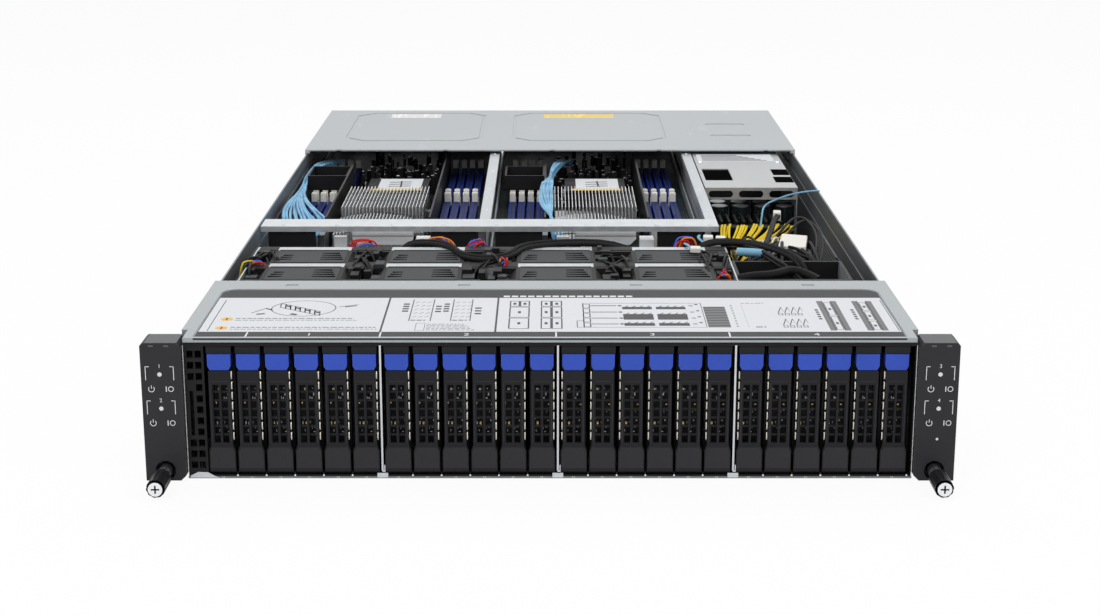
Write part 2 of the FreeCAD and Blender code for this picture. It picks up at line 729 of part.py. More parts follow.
def carrier_pieces():
    """The pieces of one drive carrier, built at X = 0: tray, lever, grille, latch and drive."""
    half = s.carrier_width / 2
    low, high = s.carrier_base, CARRIER_TOP
    # The tray, seen from the side: an upright, a brow over the latch, and a rail above and
    # below the drive. A window behind the grille lets the air through.
    tray = new_body("carrier_tray")
    brow = s.latch_top + s.gap
    near, far = s.drive_start - s.upright, s.drive_start
    end = far + s.drive_length
    under = low + s.rail_height
    over = under + s.drive_height
    seat = FRONT + s.pivot * 2 + s.foot_play
    foot_top = low + s.foot_height
    add(tray, "X", [[(seat, low), (end, low), (end, under), (far, under), (far, over), (end, over),
                     (end, over + s.rail_height), (far, over + s.rail_height), (far, high),
                     (FRONT + 0.6, high), (FRONT + 0.6, brow), (near, brow), (near, foot_top),
                     (seat, foot_top)]],
        -half + 0.6, half - 0.6)
    cut(tray, "Y", [rect(-half + 2, half - 2, s.grille_low, s.lever_top - 8)], near, far)
    # The same tray with its drive fitted, as one solid.
    loaded = new_body("loaded_tray")
    add(loaded, "X", [[(seat, low), (end, low), (end, over + s.rail_height), (far, over + s.rail_height),
                       (far, high), (FRONT + 0.6, high), (FRONT + 0.6, brow), (near, brow),
                       (near, foot_top), (seat, foot_top)]],
        -half + 0.6, half - 0.6)
    cut(loaded, "Y", [rect(-half + 2, half - 2, s.grille_low, s.lever_top - 8)], near, far)
    # The lever: a plate narrowed above its shoulders, with two slots, and a thick foot that is
    # bevelled to turn about the pivot.
    lever = new_body("carrier_lever")
    neck = half - s.shoulder
    foot = half - 0.2
    base = low + s.pivot
    plate = [(-foot, base), (foot, base), (foot, s.shoulder_low), (neck, s.shoulder_high),
             (neck, s.lever_top), (-neck, s.lever_top), (-neck, s.shoulder_high), (-foot, s.shoulder_low)]
    slot_low, slot_high = s.grille_low, s.grille_low + s.grille_pitch * 7 - s.grille_bar
    mid = s.mullion / 2
    reach = mid + s.slot_width
    slots = [rect(mid, reach, slot_low, slot_high), rect(-reach, -mid, slot_low, slot_high)]
    face = FRONT + s.face_plate
    add(lever, "Y", [plate] + slots, FRONT, face)
    back = FRONT + s.pivot * 2
    bevel = s.foot_bevel
    add(lever, "X", [[(FRONT, low + bevel), (FRONT + bevel, low), (back - bevel, low),
                      (back, low + bevel), (back, foot_top), (FRONT, foot_top)]], -foot, foot)
    # The grille's cross bars lie behind the plate, one between each pair of openings.
    bars = new_body("grille_bars")
    bar_low = s.grille_low + s.grille_pitch - s.grille_bar
    bar = add(bars, "Y", [rect(-reach - 0.6, reach + 0.6, bar_low, bar_low + s.grille_bar)],
              face, face + s.bar_depth)
    repeat(bars, bar, "Z", s.grille_pitch, 6)
    # The latch above the lever, wide at the top.
    latch = new_body("carrier_latch")
    bottom = s.lever_top + s.gap
    shelf = bottom + s.latch_chamfer
    wide = neck + 0.4
    add(latch, "Y", [[(-neck + 1, bottom), (neck - 1, bottom), (wide, shelf), (wide, s.latch_top),
                      (-wide, s.latch_top), (-wide, shelf)]],
        FRONT + 0.4, near - s.latch_travel - s.gap)
    # A 2.5-inch drive on its edge between the rails.
    wide = s.drive_width / 2
    drive = box("drive", (-wide, wide), (far, end), (under, over))
    return [tray, drive], loaded, [lever, bars], latch


def build_carriers():
    """Twenty-four carriers. The first one's lever and latch are separate moving bodies."""
    fixed, loaded, lever, latch = carrier_pieces()
    for index in range(24):
        pieces = fixed if index == 0 else [loaded, *lever, latch]
        node(f"drive_carrier_{index + 1:02d}", *pieces, x=bay_middle(index))
    node("carrier_lever_01", *lever, x=bay_middle(0))
    node("carrier_latch_01", latch, x=bay_middle(0))


# ---------------------------------------------------------------------------------------------
# Fans
# ---------------------------------------------------------------------------------------------


def build_fans():
    """Two rows of four fans in a sheet cage, and the duct blocker beside them."""
    side, depth, start = s.fan_side, s.fan_depth, s.fan_start
    half, corner, flange = side / 2, s.fan_corner, s.fan_flange
    frame = new_body("fan_frame")
    add(frame, "Y", [rect(-half, half, -half, half), many_sided(s.fan_bore, 16)], 0, depth)
    for sign in (-1, 1):
        notch = [(half * sign, half), (half * sign, half - corner), ((half - corner) * sign, half)]
        if sign > 0:
            notch.reverse()
        cut(frame, "Y", [notch], flange, depth - flange)
    # The stator: a cross that carries the rotor's shaft.
    strut, reach = s.strut / 2, s.fan_bore
    hub = s.hub_radius * 0.6
    stator = new_body("stator")
    back = depth - s.strut
    add(stator, "Y", [[(-strut, -reach), (strut, -reach), (hub, -strut), (reach, -strut), (reach, strut),
                       (strut, hub), (strut, reach), (-strut, reach), (-hub, strut), (-reach, strut),
                       (-reach, -strut), (-strut, -hub)]], back, depth)

    rotor = new_body("fan_rotor")
    first = back - s.gap - s.hub_length
    add(rotor, "Y", [many_sided(s.hub_radius, 10)], first, back - s.gap)
    low, high = first + 3, back - s.gap - 3
    blade = add(rotor, "Z", [[(-s.blade_slant, low), (-s.blade_slant + 1.6, low),
                              (s.blade_slant, high), (s.blade_slant - 1.6, high)]],
                s.hub_radius - 2, s.blade_reach)
    around(rotor, blade, "Y", 5)

    frames = []
    for column in range(4):
        middle = FIRST_FAN + s.fan_pitch * column + s.fan_pair_gap * (column // 2)
        for row in range(2):
            frames.append(group("fan", [frame, stator], middle, start + s.row_pitch * row, FAN_MIDDLE))
        rear_rotor = group("rear_rotor", [rotor], 0, s.row_pitch, 0)
        node(f"fan_rotor_{column + 1}", rotor, rear_rotor, x=middle, y=start, z=FAN_MIDDLE)
    node("fan_frames", *frames)

    left = FIRST_FAN - half - s.gap
    right = FIRST_FAN + s.fan_pitch * 3 + s.fan_pair_gap + half + s.gap
    sheet_metal = s.thin_steel
    top = s.fan_base + side
    low = start + depth + s.rail_play
    high = start + s.row_pitch - s.rail_play
    posts = [box("cage_post", (x, x + sheet_metal), (start - 1, high + s.row_pitch), (s.steel, top))
             for x in (left - sheet_metal, right)]
    rail = new_body("fan_rail")
    drop = top - s.rail_drop
    add(rail, "X", [[(low, drop), (low + sheet_metal, drop), (low + sheet_metal, top - sheet_metal),
                     (high - sheet_metal, top - sheet_metal), (high - sheet_metal, drop), (high, drop),
                     (high, top), (low, top)]], left, right)
    rear_rail = group("rear_rail", [rail], 0, s.row_pitch, 0)
    blocker = new_body("duct_blocker")
    wall = s.blocker_wall
    x0, x1 = right + sheet_metal + s.gap, s.blocker_right
    y0, y1 = start + 3, start + 3 + s.blocker_depth
    add(blocker, "Z", [rect(x0, x1, y0, y1)], s.steel, top - s.gap)
    cut(blocker, "Z", [rect(x0 + wall, x1 - wall, y0 + wall, y1 - wall)], s.blocker_floor, top - s.gap)
    node("fan_cage", *posts, rail, rear_rail, blocker)


# ---------------------------------------------------------------------------------------------
# Node bays and their sleds
# ---------------------------------------------------------------------------------------------


def build_bay_frame():
    """The cross beam, the two partitions and the ledges that carry the upper sleds."""
    top, sheet_metal = s.beam_top, s.steel
    drop = top - s.beam_drop
    near, far = s.beam_start, s.beam_start + s.beam_depth
    cap, half, lip = s.cap_width / 2, sheet_metal / 2, top - s.cap_lip
    beam = new_body("cross_beam")
    left = -INNER + s.ridge_depth + s.gap
    add(beam, "X", [[(near, top), (near, drop), (near + sheet_metal, drop),
                     (near + sheet_metal, top - sheet_metal), (far, top - sheet_metal), (far, top)]],
        left, RIGHT_WEB + cap)
    hole = cut(beam, "Z", [bevelled(left + 30.9, left + 38.9, near + 9, near + 14, 2)],
               top - sheet_metal, top)
    repeat(beam, hole, "X", 92, 4)
    # Each partition is a web under a folded cap. Ledges at mid height carry the upper sleds.
    shelf, shelf_top = s.shelf_height, s.shelf_height + sheet_metal
    partitions = []
    for web, shared in ((CENTRE_WEB, True), (RIGHT_WEB, False)):
        part = new_body("partition")
        outline = [(web - half, sheet_metal), (web + half, sheet_metal)]
        if shared:
            outline += [(web + half, shelf), (web + half + s.ledge, shelf),
                        (web + half + s.ledge, shelf_top), (web + half, shelf_top)]
        outline += [(web + half, top - sheet_metal), (web + cap - half, top - sheet_metal),
                    (web + cap - half, lip), (web + cap, lip), (web + cap, top),
                    (web - cap, top), (web - cap, lip), (web - cap + half, lip),
                    (web - cap + half, top - sheet_metal), (web - half, top - sheet_metal),
                    (web - half, shelf_top), (web - half - s.ledge, shelf_top),
                    (web - half - s.ledge, shelf), (web - half, shelf)]
        add(part, "Y", [outline], far, REAR)
        partitions.append(part)
    ledge = new_body("wall_ledge")
    wall = -INNER
    add(ledge, "Y", [[(wall, shelf - s.ledge), (wall + sheet_metal, shelf - s.ledge),
                      (wall + sheet_metal, shelf), (wall + s.ledge, shelf),
                      (wall + s.ledge, shelf_top), (wall, shelf_top)]], far, REAR)
    node("node_bay_frame", beam, *partitions, ledge)


def build_midplane():
    """The low power board across the node bays, with a blade socket for every sled."""
    start = s.sled_start - s.blade_length - s.board - s.gap
    low, high = LEFT_SLED - SLED_WIDTH / 2, RIGHT_SLED + SLED_WIDTH / 2
    board = box("power_plane", (low, high), (start, start + s.board), (s.steel, s.midplane_top))
    sockets = []
    for middle in (LEFT_SLED, RIGHT_SLED):
        for base in (s.blade_base, s.shelf_height + s.blade_base):
            sockets.append(box("blade_socket", (middle + 40, middle + 66),
                               (start + s.board, s.sled_start - s.gap), (base, base + 8)))
    headers = [box("harness_header", (x - 8, x + 8), (start - s.header_depth, start),
                   (s.header_top - 14, s.header_top)) for x in (-112, 70, 100)]
    node("midplane", board, *sockets, *headers)


def build_sled_pieces():
    """The tray and rear panel of one sled, built at X = 0 with the underside at Z = 0."""
    half, sheet_metal, wall = SLED_WIDTH / 2, s.thin_steel, s.sled_wall
    start, end = s.sled_start, REAR
    tray = new_body("sled_tray")
    add(tray, "Y", [[(-half, 0), (half, 0), (half, wall), (half - sheet_metal, wall),
                     (half - sheet_metal, sheet_metal), (-half + sheet_metal, sheet_metal),
                     (-half + sheet_metal, wall), (-half, wall)]], start, end - s.steel)
    panel = new_body("rear_panel")
    high, notch = s.panel_height, s.panel_notch
    shoulder = high - s.cap_lip - s.gap
    add(panel, "Y", [[(-half, 0), (half, 0), (half, shoulder), (half - notch, shoulder),
                      (half - notch, high), (-half + notch, high), (-half + notch, shoulder),
                      (-half, shoulder)]], end - s.steel, end)
    vent = cut(panel, "Y", [rect(-66, -66 + s.vent_slot, 22, 31)], end - s.steel, end)
    repeat(panel, vent, "X", s.vent_slot + 4, 5)
    # Ports: a network jack, two pairs of serial sockets and a display socket.
    low = s.port_base
    spans = ((-70, -54, 13.0), (-48, -34, 14.0), (-28, -14, 14.0), (-6, 26, 11.0))
    cut(panel, "Y", [rect(x0, x1, low, low + tall) for x0, x1, tall in spans], end - s.steel, end)
    ports = [box("port", (x0, x1), (end - s.port_depth, end - 0.5), (low, low + tall))
             for x0, x1, tall in spans]
    handle = new_body("sled_lever")
    arm, stand = 34.0, s.lever_stand
    add(handle, "Z", [[(arm, end), (arm + 3, end), (arm + 3, end + stand - 3),
                       (arm + 38, end + stand - 3), (arm + 41, end + stand),
                       (arm + 38, end + stand + 1), (arm, end + stand)]], 8, 8 + s.lever_height)
    return [tray, panel, handle] + ports


def build_board():
    """A node board on its standoffs, with memory sockets and their end latches."""
    base = s.thin_steel + s.standoff
    top = base + s.board
    half = SLED_WIDTH / 2 - s.thin_steel - s.gap
    start = s.sled_start + s.board_inset
    board = box("node_board", (-half, half), (start, REAR - s.port_depth - s.gap), (base, top))
    feet = new_body("standoffs")
    foot = add(feet, "Z", [rect(-half + 6, -half + 12, start + 8, start + 14)], s.thin_steel, base)
    repeat(feet, foot, "X", half * 2 - 18, 2, "Y", 430, 2)
    bodies = new_body("memory_sockets")
    latches = new_body("socket_latches")
    wide, long, latch = s.socket_width, s.socket_length, s.latch_length
    for column in (LEFT_BANKS, RIGHT_BANKS):
        first = column - s.socket_pitch * 1.5 - wide / 2
        profile = rect(first, first + wide, top, top + s.socket_height)
        near = s.front_bank + latch
        pitch = s.rear_bank - s.front_bank
        piece = add(bodies, "Y", [profile], near, near + long - latch * 2)
        repeat(bodies, piece, "X", s.socket_pitch, 4, "Y", pitch, 2)
        for place_y in (s.front_bank, s.front_bank + long - latch):
            piece = add(latches, "Z", [rect(first + 0.6, first + wide - 0.6, place_y, place_y + latch)],
                        top, top + s.latch_height)
            repeat(latches, piece, "X", s.socket_pitch, 4, "Y", pitch, 2)
    half, near = s.card_width / 2, s.tall_sink + s.tall_sink_length + 26
    card = box("covered_card", (2 - half, 2 + half), (near, near + s.card_length), (top, top + s.card_height))
    return [board, feet, bodies, latches, card]


def build_sinks():
    """Finned heatsinks: a tall one over the rear processor, and a low one by the cross beam."""
    base = s.thin_steel + s.standoff + s.board
    floor = base + s.processor_height
    left = -s.sink_width / 2 + 3
    pieces = []
    for name, near, length, height, pitch, count in (
            ("tall", s.tall_sink, s.tall_sink_length, s.sink_height, s.fin_pitch, 15),
            ("low", s.low_sink, 62.0, s.low_sink_height, s.fin_pitch * 1.5, 9)):
        span = pitch * (count - 1) + s.fin
        sink = new_body(f"{name}_sink")
        plate = floor + s.sink_plate
        add(sink, "Y", [rect(left, left + span, floor, plate)], near, near + length)
        fin = add(sink, "Y", [rect(left, left + s.fin, plate, floor + height)], near, near + length)
        repeat(sink, fin, "X", pitch, count)
        pedestal = box("processor", (left + 14, left + span - 14), (near + 10, near + length - 10),
                       (base, floor))
        pieces += [sink, pedestal]
    return pieces


def build_baffle():
    """The black air baffle: two side walls, and a box that bridges the left banks."""
    base = s.thin_steel + s.standoff + s.board
    top = base + s.baffle_height
    wall = s.baffle_wall
    right = s.sink_width / 2 + 3
    left = -s.sink_width / 2 - 4
    near, far = s.front_bank - 20, s.rear_bank + s.socket_length
    baffle = new_body("baffle")
    add(baffle, "X", [[(near, base), (far, base), (far, top - 8), (far - 22, top), (near, top)]],
        right, right + wall)
    crate_near, crate_far = s.rear_bank, s.rear_bank + s.crate_depth
    clear = base + s.latch_height + s.gap
    side = new_body("side_wall")
    add(side, "X", [[(near, base), (crate_far, base), (crate_far, top), (near, top)]], left - wall, left)
    crate = new_body("cable_crate")
    x0, x1 = -SLED_WIDTH / 2 + 7, left - wall
    add(crate, "Z", [rect(x0, x1, crate_near, crate_far)], clear, top - 1)
    cut(crate, "Z", [rect(x0 + wall, x1 - wall, crate_near + wall, crate_far - wall)], clear + wall, top - 1)
    return [baffle, side, crate]


def build_sled_cables(left):
    """The ribbon of thin data cables along a node, from the given side, with its plug."""
    base = s.thin_steel + s.standoff + s.board
    near = s.beam_start + s.beam_depth + 4
    low, high = base + 6, base + s.baffle_height - 4
    thick, wide = s.ribbon_thickness, s.ribbon_width
    strip = new_body("data_ribbon")
    line = [(near, low), (near + 24, low + 2), (near + 60, high - 6), (near + 120, high - 4),
            (near + 170, high), (near + 240, high - 2), (near + 300, low + 4), (near + 316, low)]
    back = [(y, z + thick) for y, z in reversed(line)]
    add(strip, "X", [line + back], left, left + wide)
    plug = box("cable_plug", (left, left + 26), (near - 14, near), (base, base + 12))
    return [strip, plug]


def build_sleds():
    """Four sleds: the upper two are open to view, the lower two lie under them."""
    sled = build_sled_pieces()
    board = build_board()
    sinks = build_sinks()
    baffle = build_baffle()
    # The left node's cables run by the wall, the right node's beside the tall heatsink.
    cables = {"left": build_sled_cables(s.thin_steel + s.gap - SLED_WIDTH / 2),
              "right": build_sled_cables(s.gap * 1.5 - s.sink_width / 2 - 4)}
    upper = s.shelf_height + s.steel + s.gap
    lower = s.steel + s.gap
    for side, middle in (("left", LEFT_SLED), ("right", RIGHT_SLED)):
        name = f"upper_{side}"
        node(f"{name}_sled", *sled, x=middle, z=upper)
        node(f"{name}_board", *board, x=middle, z=upper)
        node(f"{name}_heatsinks", *sinks, x=middle, z=upper)
        node(f"{name}_baffle", *baffle, x=middle, z=upper)
        node(f"{name}_cables", *cables[side], x=middle, z=upper)
        node(f"lower_{side}_sled", *sled, *board[:2], x=middle, z=lower)


# ---------------------------------------------------------------------------------------------
# Power supplies
# ---------------------------------------------------------------------------------------------


def build_psu_cage():
    """The sheet cage round the two supplies, with cut-outs in its top and a slotted lip."""
    left, sheet_metal, start = PSU_LEFT, s.thin_steel, CAGE_START
    right = left + s.psu_width + s.gap * 2 + sheet_metal * 2
    low = s.steel
    inside = low + sheet_metal
    shelf = inside + s.psu_height + s.gap * 2
    top = shelf + sheet_metal + s.psu_height + s.gap * 2
    cage = new_body("supply_cage")
    x0, x1 = left + sheet_metal, right - sheet_metal
    add(cage, "Y", [rect(left, right, low, top + sheet_metal), rect(x0, x1, inside, shelf),
                    rect(x0, x1, shelf + sheet_metal, top)], start, REAR)
    cut(cage, "Y", [rect(x0, x1, inside, top)], start, start + s.shelf_inset)
    cut(cage, "Z", [rect(left + 3, left + 26, start + 31, start + 82)], top, top + sheet_metal)
    for near in (start + 26, start + 68):
        cut(cage, "Z", [rect(right - 14, right - 2, near, near + 12)], top, top + sheet_metal)
    lip = new_body("cage_lip")
    drop = top - s.lip_drop
    add(lip, "Y", [rect(x0, x1, drop, top)], start, start + sheet_metal)
    slot = cut(lip, "Y", [bevelled(left + 3, left + 23, drop + 1.6, top - 1.6, 1.8)],
               start, start + sheet_metal)
    repeat(lip, slot, "X", 25, 3)
    node("psu_cage", cage, lip)
    return inside, shelf + sheet_metal


def build_psus(floors):
    """Two supplies with a grille, an inlet socket, a handle and a release tab."""
    left = PSU_LEFT + s.thin_steel + s.gap
    right = left + s.psu_width
    high, end = s.psu_height, REAR + s.psu_proud
    body = new_body("supply")
    add(body, "Z", [rect(left, right, end - s.psu_length, end)], 0, high)
    x0 = right - 8 - s.inlet_width
    z0 = (high - s.inlet_height) / 2
    cut(body, "Y", [bevelled(x0, x0 + s.inlet_width, z0, z0 + s.inlet_height, 2.5)],
        end - s.inlet_depth, end)
    ring = cut(body, "Y", [rect(left + 4, left + 30, 5, 7.6)], end - 2, end)
    repeat(body, ring, "Z", 5, 6)
    prongs = new_body("prongs")
    prong = add(prongs, "Y", [rect(x0 + 5, x0 + 7, z0 + 6, z0 + 12)], end - s.inlet_depth, end - 4)
    repeat(prongs, prong, "X", 7.5, 3)
    handle = new_body("handle")
    stand, bar = s.handle_stand, 3.0
    add(handle, "X", [[(end, 5), (end + stand, 5), (end + stand, high - 5), (end, high - 5),
                       (end, high - 5 - bar), (end + stand - bar, high - 5 - bar),
                       (end + stand - bar, 5 + bar), (end, 5 + bar)]], left + 32, left + 32 + bar)
    tab = box("release_tab", (right - 5, right - 2), (end, end + 12), (high / 2 - 5, high / 2 + 5))
    for name, floor in zip(("psu_lower", "psu_upper"), floors):
        node(name, body, prongs, handle, tab, z=floor + s.gap)


def build_power_board():
    """The board that joins the supplies to the wiring, in front of their cage."""
    left, right = PSU_LEFT + 3, PSU_LEFT + s.psu_width - 2
    near, far = CAGE_START - s.power_reach, CAGE_START + 40
    base = s.steel + s.power_stand
    face = base + 2
    board = box("power_card", (left, right), (near, far), (base, face))
    posts = new_body("board_posts")
    post = add(posts, "Z", [rect(left + 4, left + 10, near + 8, near + 14)], s.steel, base)
    repeat(posts, post, "X", 56, 2, "Y", 80, 2)
    caps = new_body("capacitors")
    can = many_sided(s.can_radius, 8)
    cap = add(caps, "Z", [moved(can, left + 10, CAGE_START + 14)], face, face + s.can_height)
    repeat(caps, cap, "X", 18, 4, "Y", 18, 2)
    fins = new_body("power_fins")
    fin = add(fins, "Z", [rect(left + 8, left + 9.6, CAGE_START - 30, CAGE_START)], face, face + s.can_height - 4)
    repeat(fins, fin, "X", 6, 9)
    strip = box("wire_header", (left + 4, right - 4), (CAGE_START - 48, CAGE_START - 36),
                (face, face + s.can_height - 5))
    node("power_board", board, posts, caps, fins, strip)


# ---------------------------------------------------------------------------------------------
# Wiring
# ---------------------------------------------------------------------------------------------


def harness(name, points):
    """A flat sleeved cable: straight runs joined by tangent arcs, as large as their runs allow."""
    points = [Vector(*point) for point in points]
    edges = []
    start = points[0]
    for before, corner, after in zip(points, points[1:], points[2:]):
        run_in, run_out = corner - before, after - corner
        turn = run_in.getAngle(run_out)
        trim = min(BEND, 0.45 * run_in.Length, 0.45 * run_out.Length)
        way_in, way_out = Vector(run_in).normalize(), Vector(run_out).normalize()
        first, last = corner - way_in * trim, corner + way_out * trim
        bend = trim / math.tan(turn / 2)
        inward = (way_out - way_in).normalize()
        middle = corner + inward * (bend / math.cos(turn / 2) - bend)
        edges += [Part.LineSegment(start, first).toShape(), Part.Arc(first, middle, last).toShape()]
        start = last
    edges.append(Part.LineSegment(start, points[-1]).toShape())
    wide, thick = s.harness_width.value / 2, s.harness_height.value / 2
    corners = [points[0] + Vector(x, y, 0)
               for x, y in ((thick, wide), (-thick, wide), (-thick, -wide), (thick, -wide))]
    section = Part.makePolygon(corners + corners[:1])
    piece = doc.addObject("Part::Feature", name)
    piece.Shape = Part.Wire(edges).makePipeShell([section], True, False, 1)
    piece.Placement = Placement(Vector(0, 0, 0), Rotation())
    return piece


def build_wiring():
    """The sleeved harnesses over the fans, beside the blocker and on the power board."""
    pieces = [harness(name, points) for name, points in HARNESSES.items()]
    node("wiring_loom", *pieces)


build_chassis()
build_ear(-1, "left_ear")
build_ear(1, "right_ear")
build_screw(-1, "left_thumbscrew")
build_screw(1, "right_thumbscrew")
build_front_cover()
build_rear_cover()
build_drive_cage()
build_backplane()
build_carriers()
build_fans()
build_bay_frame()
build_midplane()
build_sleds()
build_psus(build_psu_cage())
build_power_board()
build_wiring()
doc.recompute()

# ---------------------------------------------------------------------------------------------
# Checks and files
# ---------------------------------------------------------------------------------------------

for thing in doc.Objects:
    if "Invalid" in thing.State or "Error" in thing.State:
        raise RuntimeError(f"{thing.Label} failed: {thing.State}")
for piece in nodes:
    if piece.Shape.isNull() or not piece.Shape.isValid():
        raise RuntimeError(f"{piece.Label} has no valid shape")

os.makedirs("parts", exist_ok=True)
for piece in nodes:
    piece.Shape.exportStep(f"parts/{piece.Label}.step")
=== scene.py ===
"""Dresses a rack server: finishes, printed labels, wiring and small fittings.

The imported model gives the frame: X to the right seen from the front, Y to the rear and Z up.
Sizes in this file are millimetres and become metres where a mesh or a curve is made.
"""
import logging
import math
import random
from dataclasses import dataclass
from enum import Enum
from typing import Iterable, Iterator, Optional, Sequence, Union

import bmesh
import bpy
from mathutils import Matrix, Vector


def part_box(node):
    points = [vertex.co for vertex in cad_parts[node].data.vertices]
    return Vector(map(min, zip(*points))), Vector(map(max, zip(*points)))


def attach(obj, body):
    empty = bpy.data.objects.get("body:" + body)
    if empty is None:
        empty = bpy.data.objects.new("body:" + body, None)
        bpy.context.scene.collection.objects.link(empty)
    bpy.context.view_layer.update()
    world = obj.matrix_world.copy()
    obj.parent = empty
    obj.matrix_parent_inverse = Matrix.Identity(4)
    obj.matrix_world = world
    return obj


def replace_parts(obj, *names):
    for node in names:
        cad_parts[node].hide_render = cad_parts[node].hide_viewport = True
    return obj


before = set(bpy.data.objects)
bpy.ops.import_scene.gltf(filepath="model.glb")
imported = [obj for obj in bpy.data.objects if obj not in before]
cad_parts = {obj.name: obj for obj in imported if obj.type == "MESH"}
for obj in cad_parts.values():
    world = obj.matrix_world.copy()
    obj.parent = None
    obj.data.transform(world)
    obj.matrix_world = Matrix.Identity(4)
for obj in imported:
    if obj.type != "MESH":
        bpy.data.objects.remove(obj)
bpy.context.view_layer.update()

MM = 0.001
Point = tuple[float, float, float]
Flat = tuple[float, float]
Span = tuple[float, float]
Places = tuple[float, ...]
Spans = tuple[Span, ...]
Outline = tuple[Flat, ...]
Route = tuple[Point, ...]
Paints = tuple["Jacket", ...]
Colour = tuple[float, float, float]
log = logging.getLogger("server")

CARRIERS = 24
ROTORS = 4
NODE_MIDDLES = {"left": -133.4, "right": 36.8}


# ---- Shader expressions ----


class Value:
    """A number or colour carried by a shader socket; arithmetic on it adds Math nodes."""

    def __init__(self, shader: "Shader", socket: bpy.types.NodeSocket) -> None:
        """Keep the shader and the socket that carries the value."""
        self.shader = shader
        self.socket = socket

    def also(self, output: Union[int, str]) -> "Value":
        """Another output of the same node."""
        return Value(self.shader, self.socket.node.outputs[output])

    def __add__(self, other: "Term") -> "Value":
        """Sum."""
        return self.shader.math("ADD", self, other)

    __radd__ = __add__

    def __sub__(self, other: "Term") -> "Value":
        """Difference."""
        return self.shader.math("SUBTRACT", self, other)

    def __rsub__(self, other: "Term") -> "Value":
        """Difference from a plain number."""
        return self.shader.math("SUBTRACT", other, self)

    def __mul__(self, other: "Term") -> "Value":
        """Product."""
        return self.shader.math("MULTIPLY", self, other)

    __rmul__ = __mul__

    def __truediv__(self, other: "Term") -> "Value":
        """Quotient."""
        return self.shader.math("DIVIDE", self, other)

    def __mod__(self, other: "Term") -> "Value":
        """Remainder, always positive."""
        return self.shader.math("FLOORED_MODULO", self, other)

    def __gt__(self, other: "Term") -> "Value":
        """One where this value is the larger, and zero elsewhere."""
        return self.shader.math("GREATER_THAN", self, other)

    def __lt__(self, other: "Term") -> "Value":
        """One where this value is the smaller, and zero elsewhere."""
        return self.shader.math("LESS_THAN", self, other)

    def __abs__(self) -> "Value":
        """Size without sign."""
        return self.shader.math("ABSOLUTE", self)

    def between(self, low: float, high: float) -> "Value":
        """One inside a span, and zero outside it."""
        return (self > low) * (self < high)


Term = Union[Value, float]
Input = Union[Value, float, tuple]


class Shader:
    """A node tree, written as expressions that end in its surface node."""

    def __init__(self, owner: Union[bpy.types.Material, bpy.types.World],
                 end: str = "Principled BSDF") -> None:
        """Take the node tree of a material or a world.

        Args:
            owner: what the tree belongs to.
            end: the name of its surface node.
        """
        owner.use_nodes = True
        self.owner = owner
        self.tree = owner.node_tree
        self.surface = self.tree.nodes[end]

    def feed(self, socket: bpy.types.NodeSocket, thing: Input) -> None:
        """Link a value to a socket, or set the socket to a plain number or colour.

        Args:
            socket: an input of a node.
            thing: what it takes.
        """
        if isinstance(thing, Value):
            self.tree.links.new(thing.socket, socket)
        elif isinstance(thing, tuple) and socket.type == "RGBA" and len(thing) == 3:
            socket.default_value = (*thing, 1.0)
        else:
            socket.default_value = thing

    def node(self, kind: str, settings: Optional[dict] = None, inputs: Optional[dict] = None,
             output: Union[int, str] = 0) -> Value:
        """Add a node of any kind.

        Args:
            kind: the node's type without its "ShaderNode" prefix.
            settings: properties to set first, such as a Math node's operation.
            inputs: values or links, by socket name or number.
            output: the output that the caller wants.

        Returns:
            The wanted output.
        """
        made = self.tree.nodes.new("ShaderNode" + kind)
        for name, setting in (settings or {}).items():
            setattr(made, name, setting)
        for name, thing in (inputs or {}).items():
            self.feed(made.inputs[name], thing)
        return Value(self, made.outputs[output])

    def math(self, operation: str, *terms: Term) -> Value:
        """One Math node over one to three terms."""
        return self.node("Math", {"operation": operation}, dict(enumerate(terms)))

    def mix(self, factor: Term, first: Input, second: Input) -> Value:
        """A colour between two others."""
        return self.node("Mix", {"data_type": "RGBA"}, {0: factor, 6: first, 7: second}, 2)

    def place(self) -> Value:
        """The point on the object, in metres in the row's frame."""
        return self.node("TexCoord", output="Object")

    def axes(self) -> tuple[Value, Value, Value]:
        """The point's three parts in millimetres."""
        parts = self.node("SeparateXYZ", None, {0: self.place()})
        return tuple(parts.also(index) * (1 / MM) for index in range(3))

    def stretched(self, scale: Point) -> Value:
        """The point, scaled along each axis."""
        return self.node("VectorMath", {"operation": "MULTIPLY"}, {0: self.place(), 1: scale})

    def noise(self, scale: float, detail: float = 2.0, stretch: Point = (1.0, 1.0, 1.0)) -> Value:
        """Soft noise from 0 to 1."""
        return self.node("TexNoise", None, {"Vector": self.stretched(stretch), "Scale": scale,
                                            "Detail": detail})

    def cells(self, scale: float) -> Value:
        """Cell pattern; its colour output holds one random colour for each cell."""
        return self.node("TexVoronoi", None, {"Vector": self.place(), "Scale": scale})

    def grey(self, colour: Value) -> Value:
        """A colour's brightness."""
        return self.node("RGBToBW", None, {0: colour})

    def bump(self, height: Value, distance: float) -> Value:
        """A normal from a height."""
        return self.node("Bump", None, {"Height": height, "Distance": distance}, "Normal")

    def finish(self, **sockets: Input) -> None:
        """Set or link sockets of the surface, named with underscores for spaces."""
        for name, thing in sockets.items():
            self.feed(self.surface.inputs[name.replace("_", " ")], thing)

    def over(self, mask: Value, colour: Input) -> None:
        """Lay another colour over the surface's own where a mask is one."""
        base = Value(self, self.surface.inputs["Base Color"].links[0].from_socket)
        self.finish(Base_Color=self.mix(mask, base, colour))


def shade(colour: Colour, factor: float) -> Colour:
    """A colour made darker or lighter by a factor."""
    return tuple(min(1.0, part * factor) for part in colour)


# ---- Finishes ----

MADE: dict["Finish", bpy.types.Material] = {}


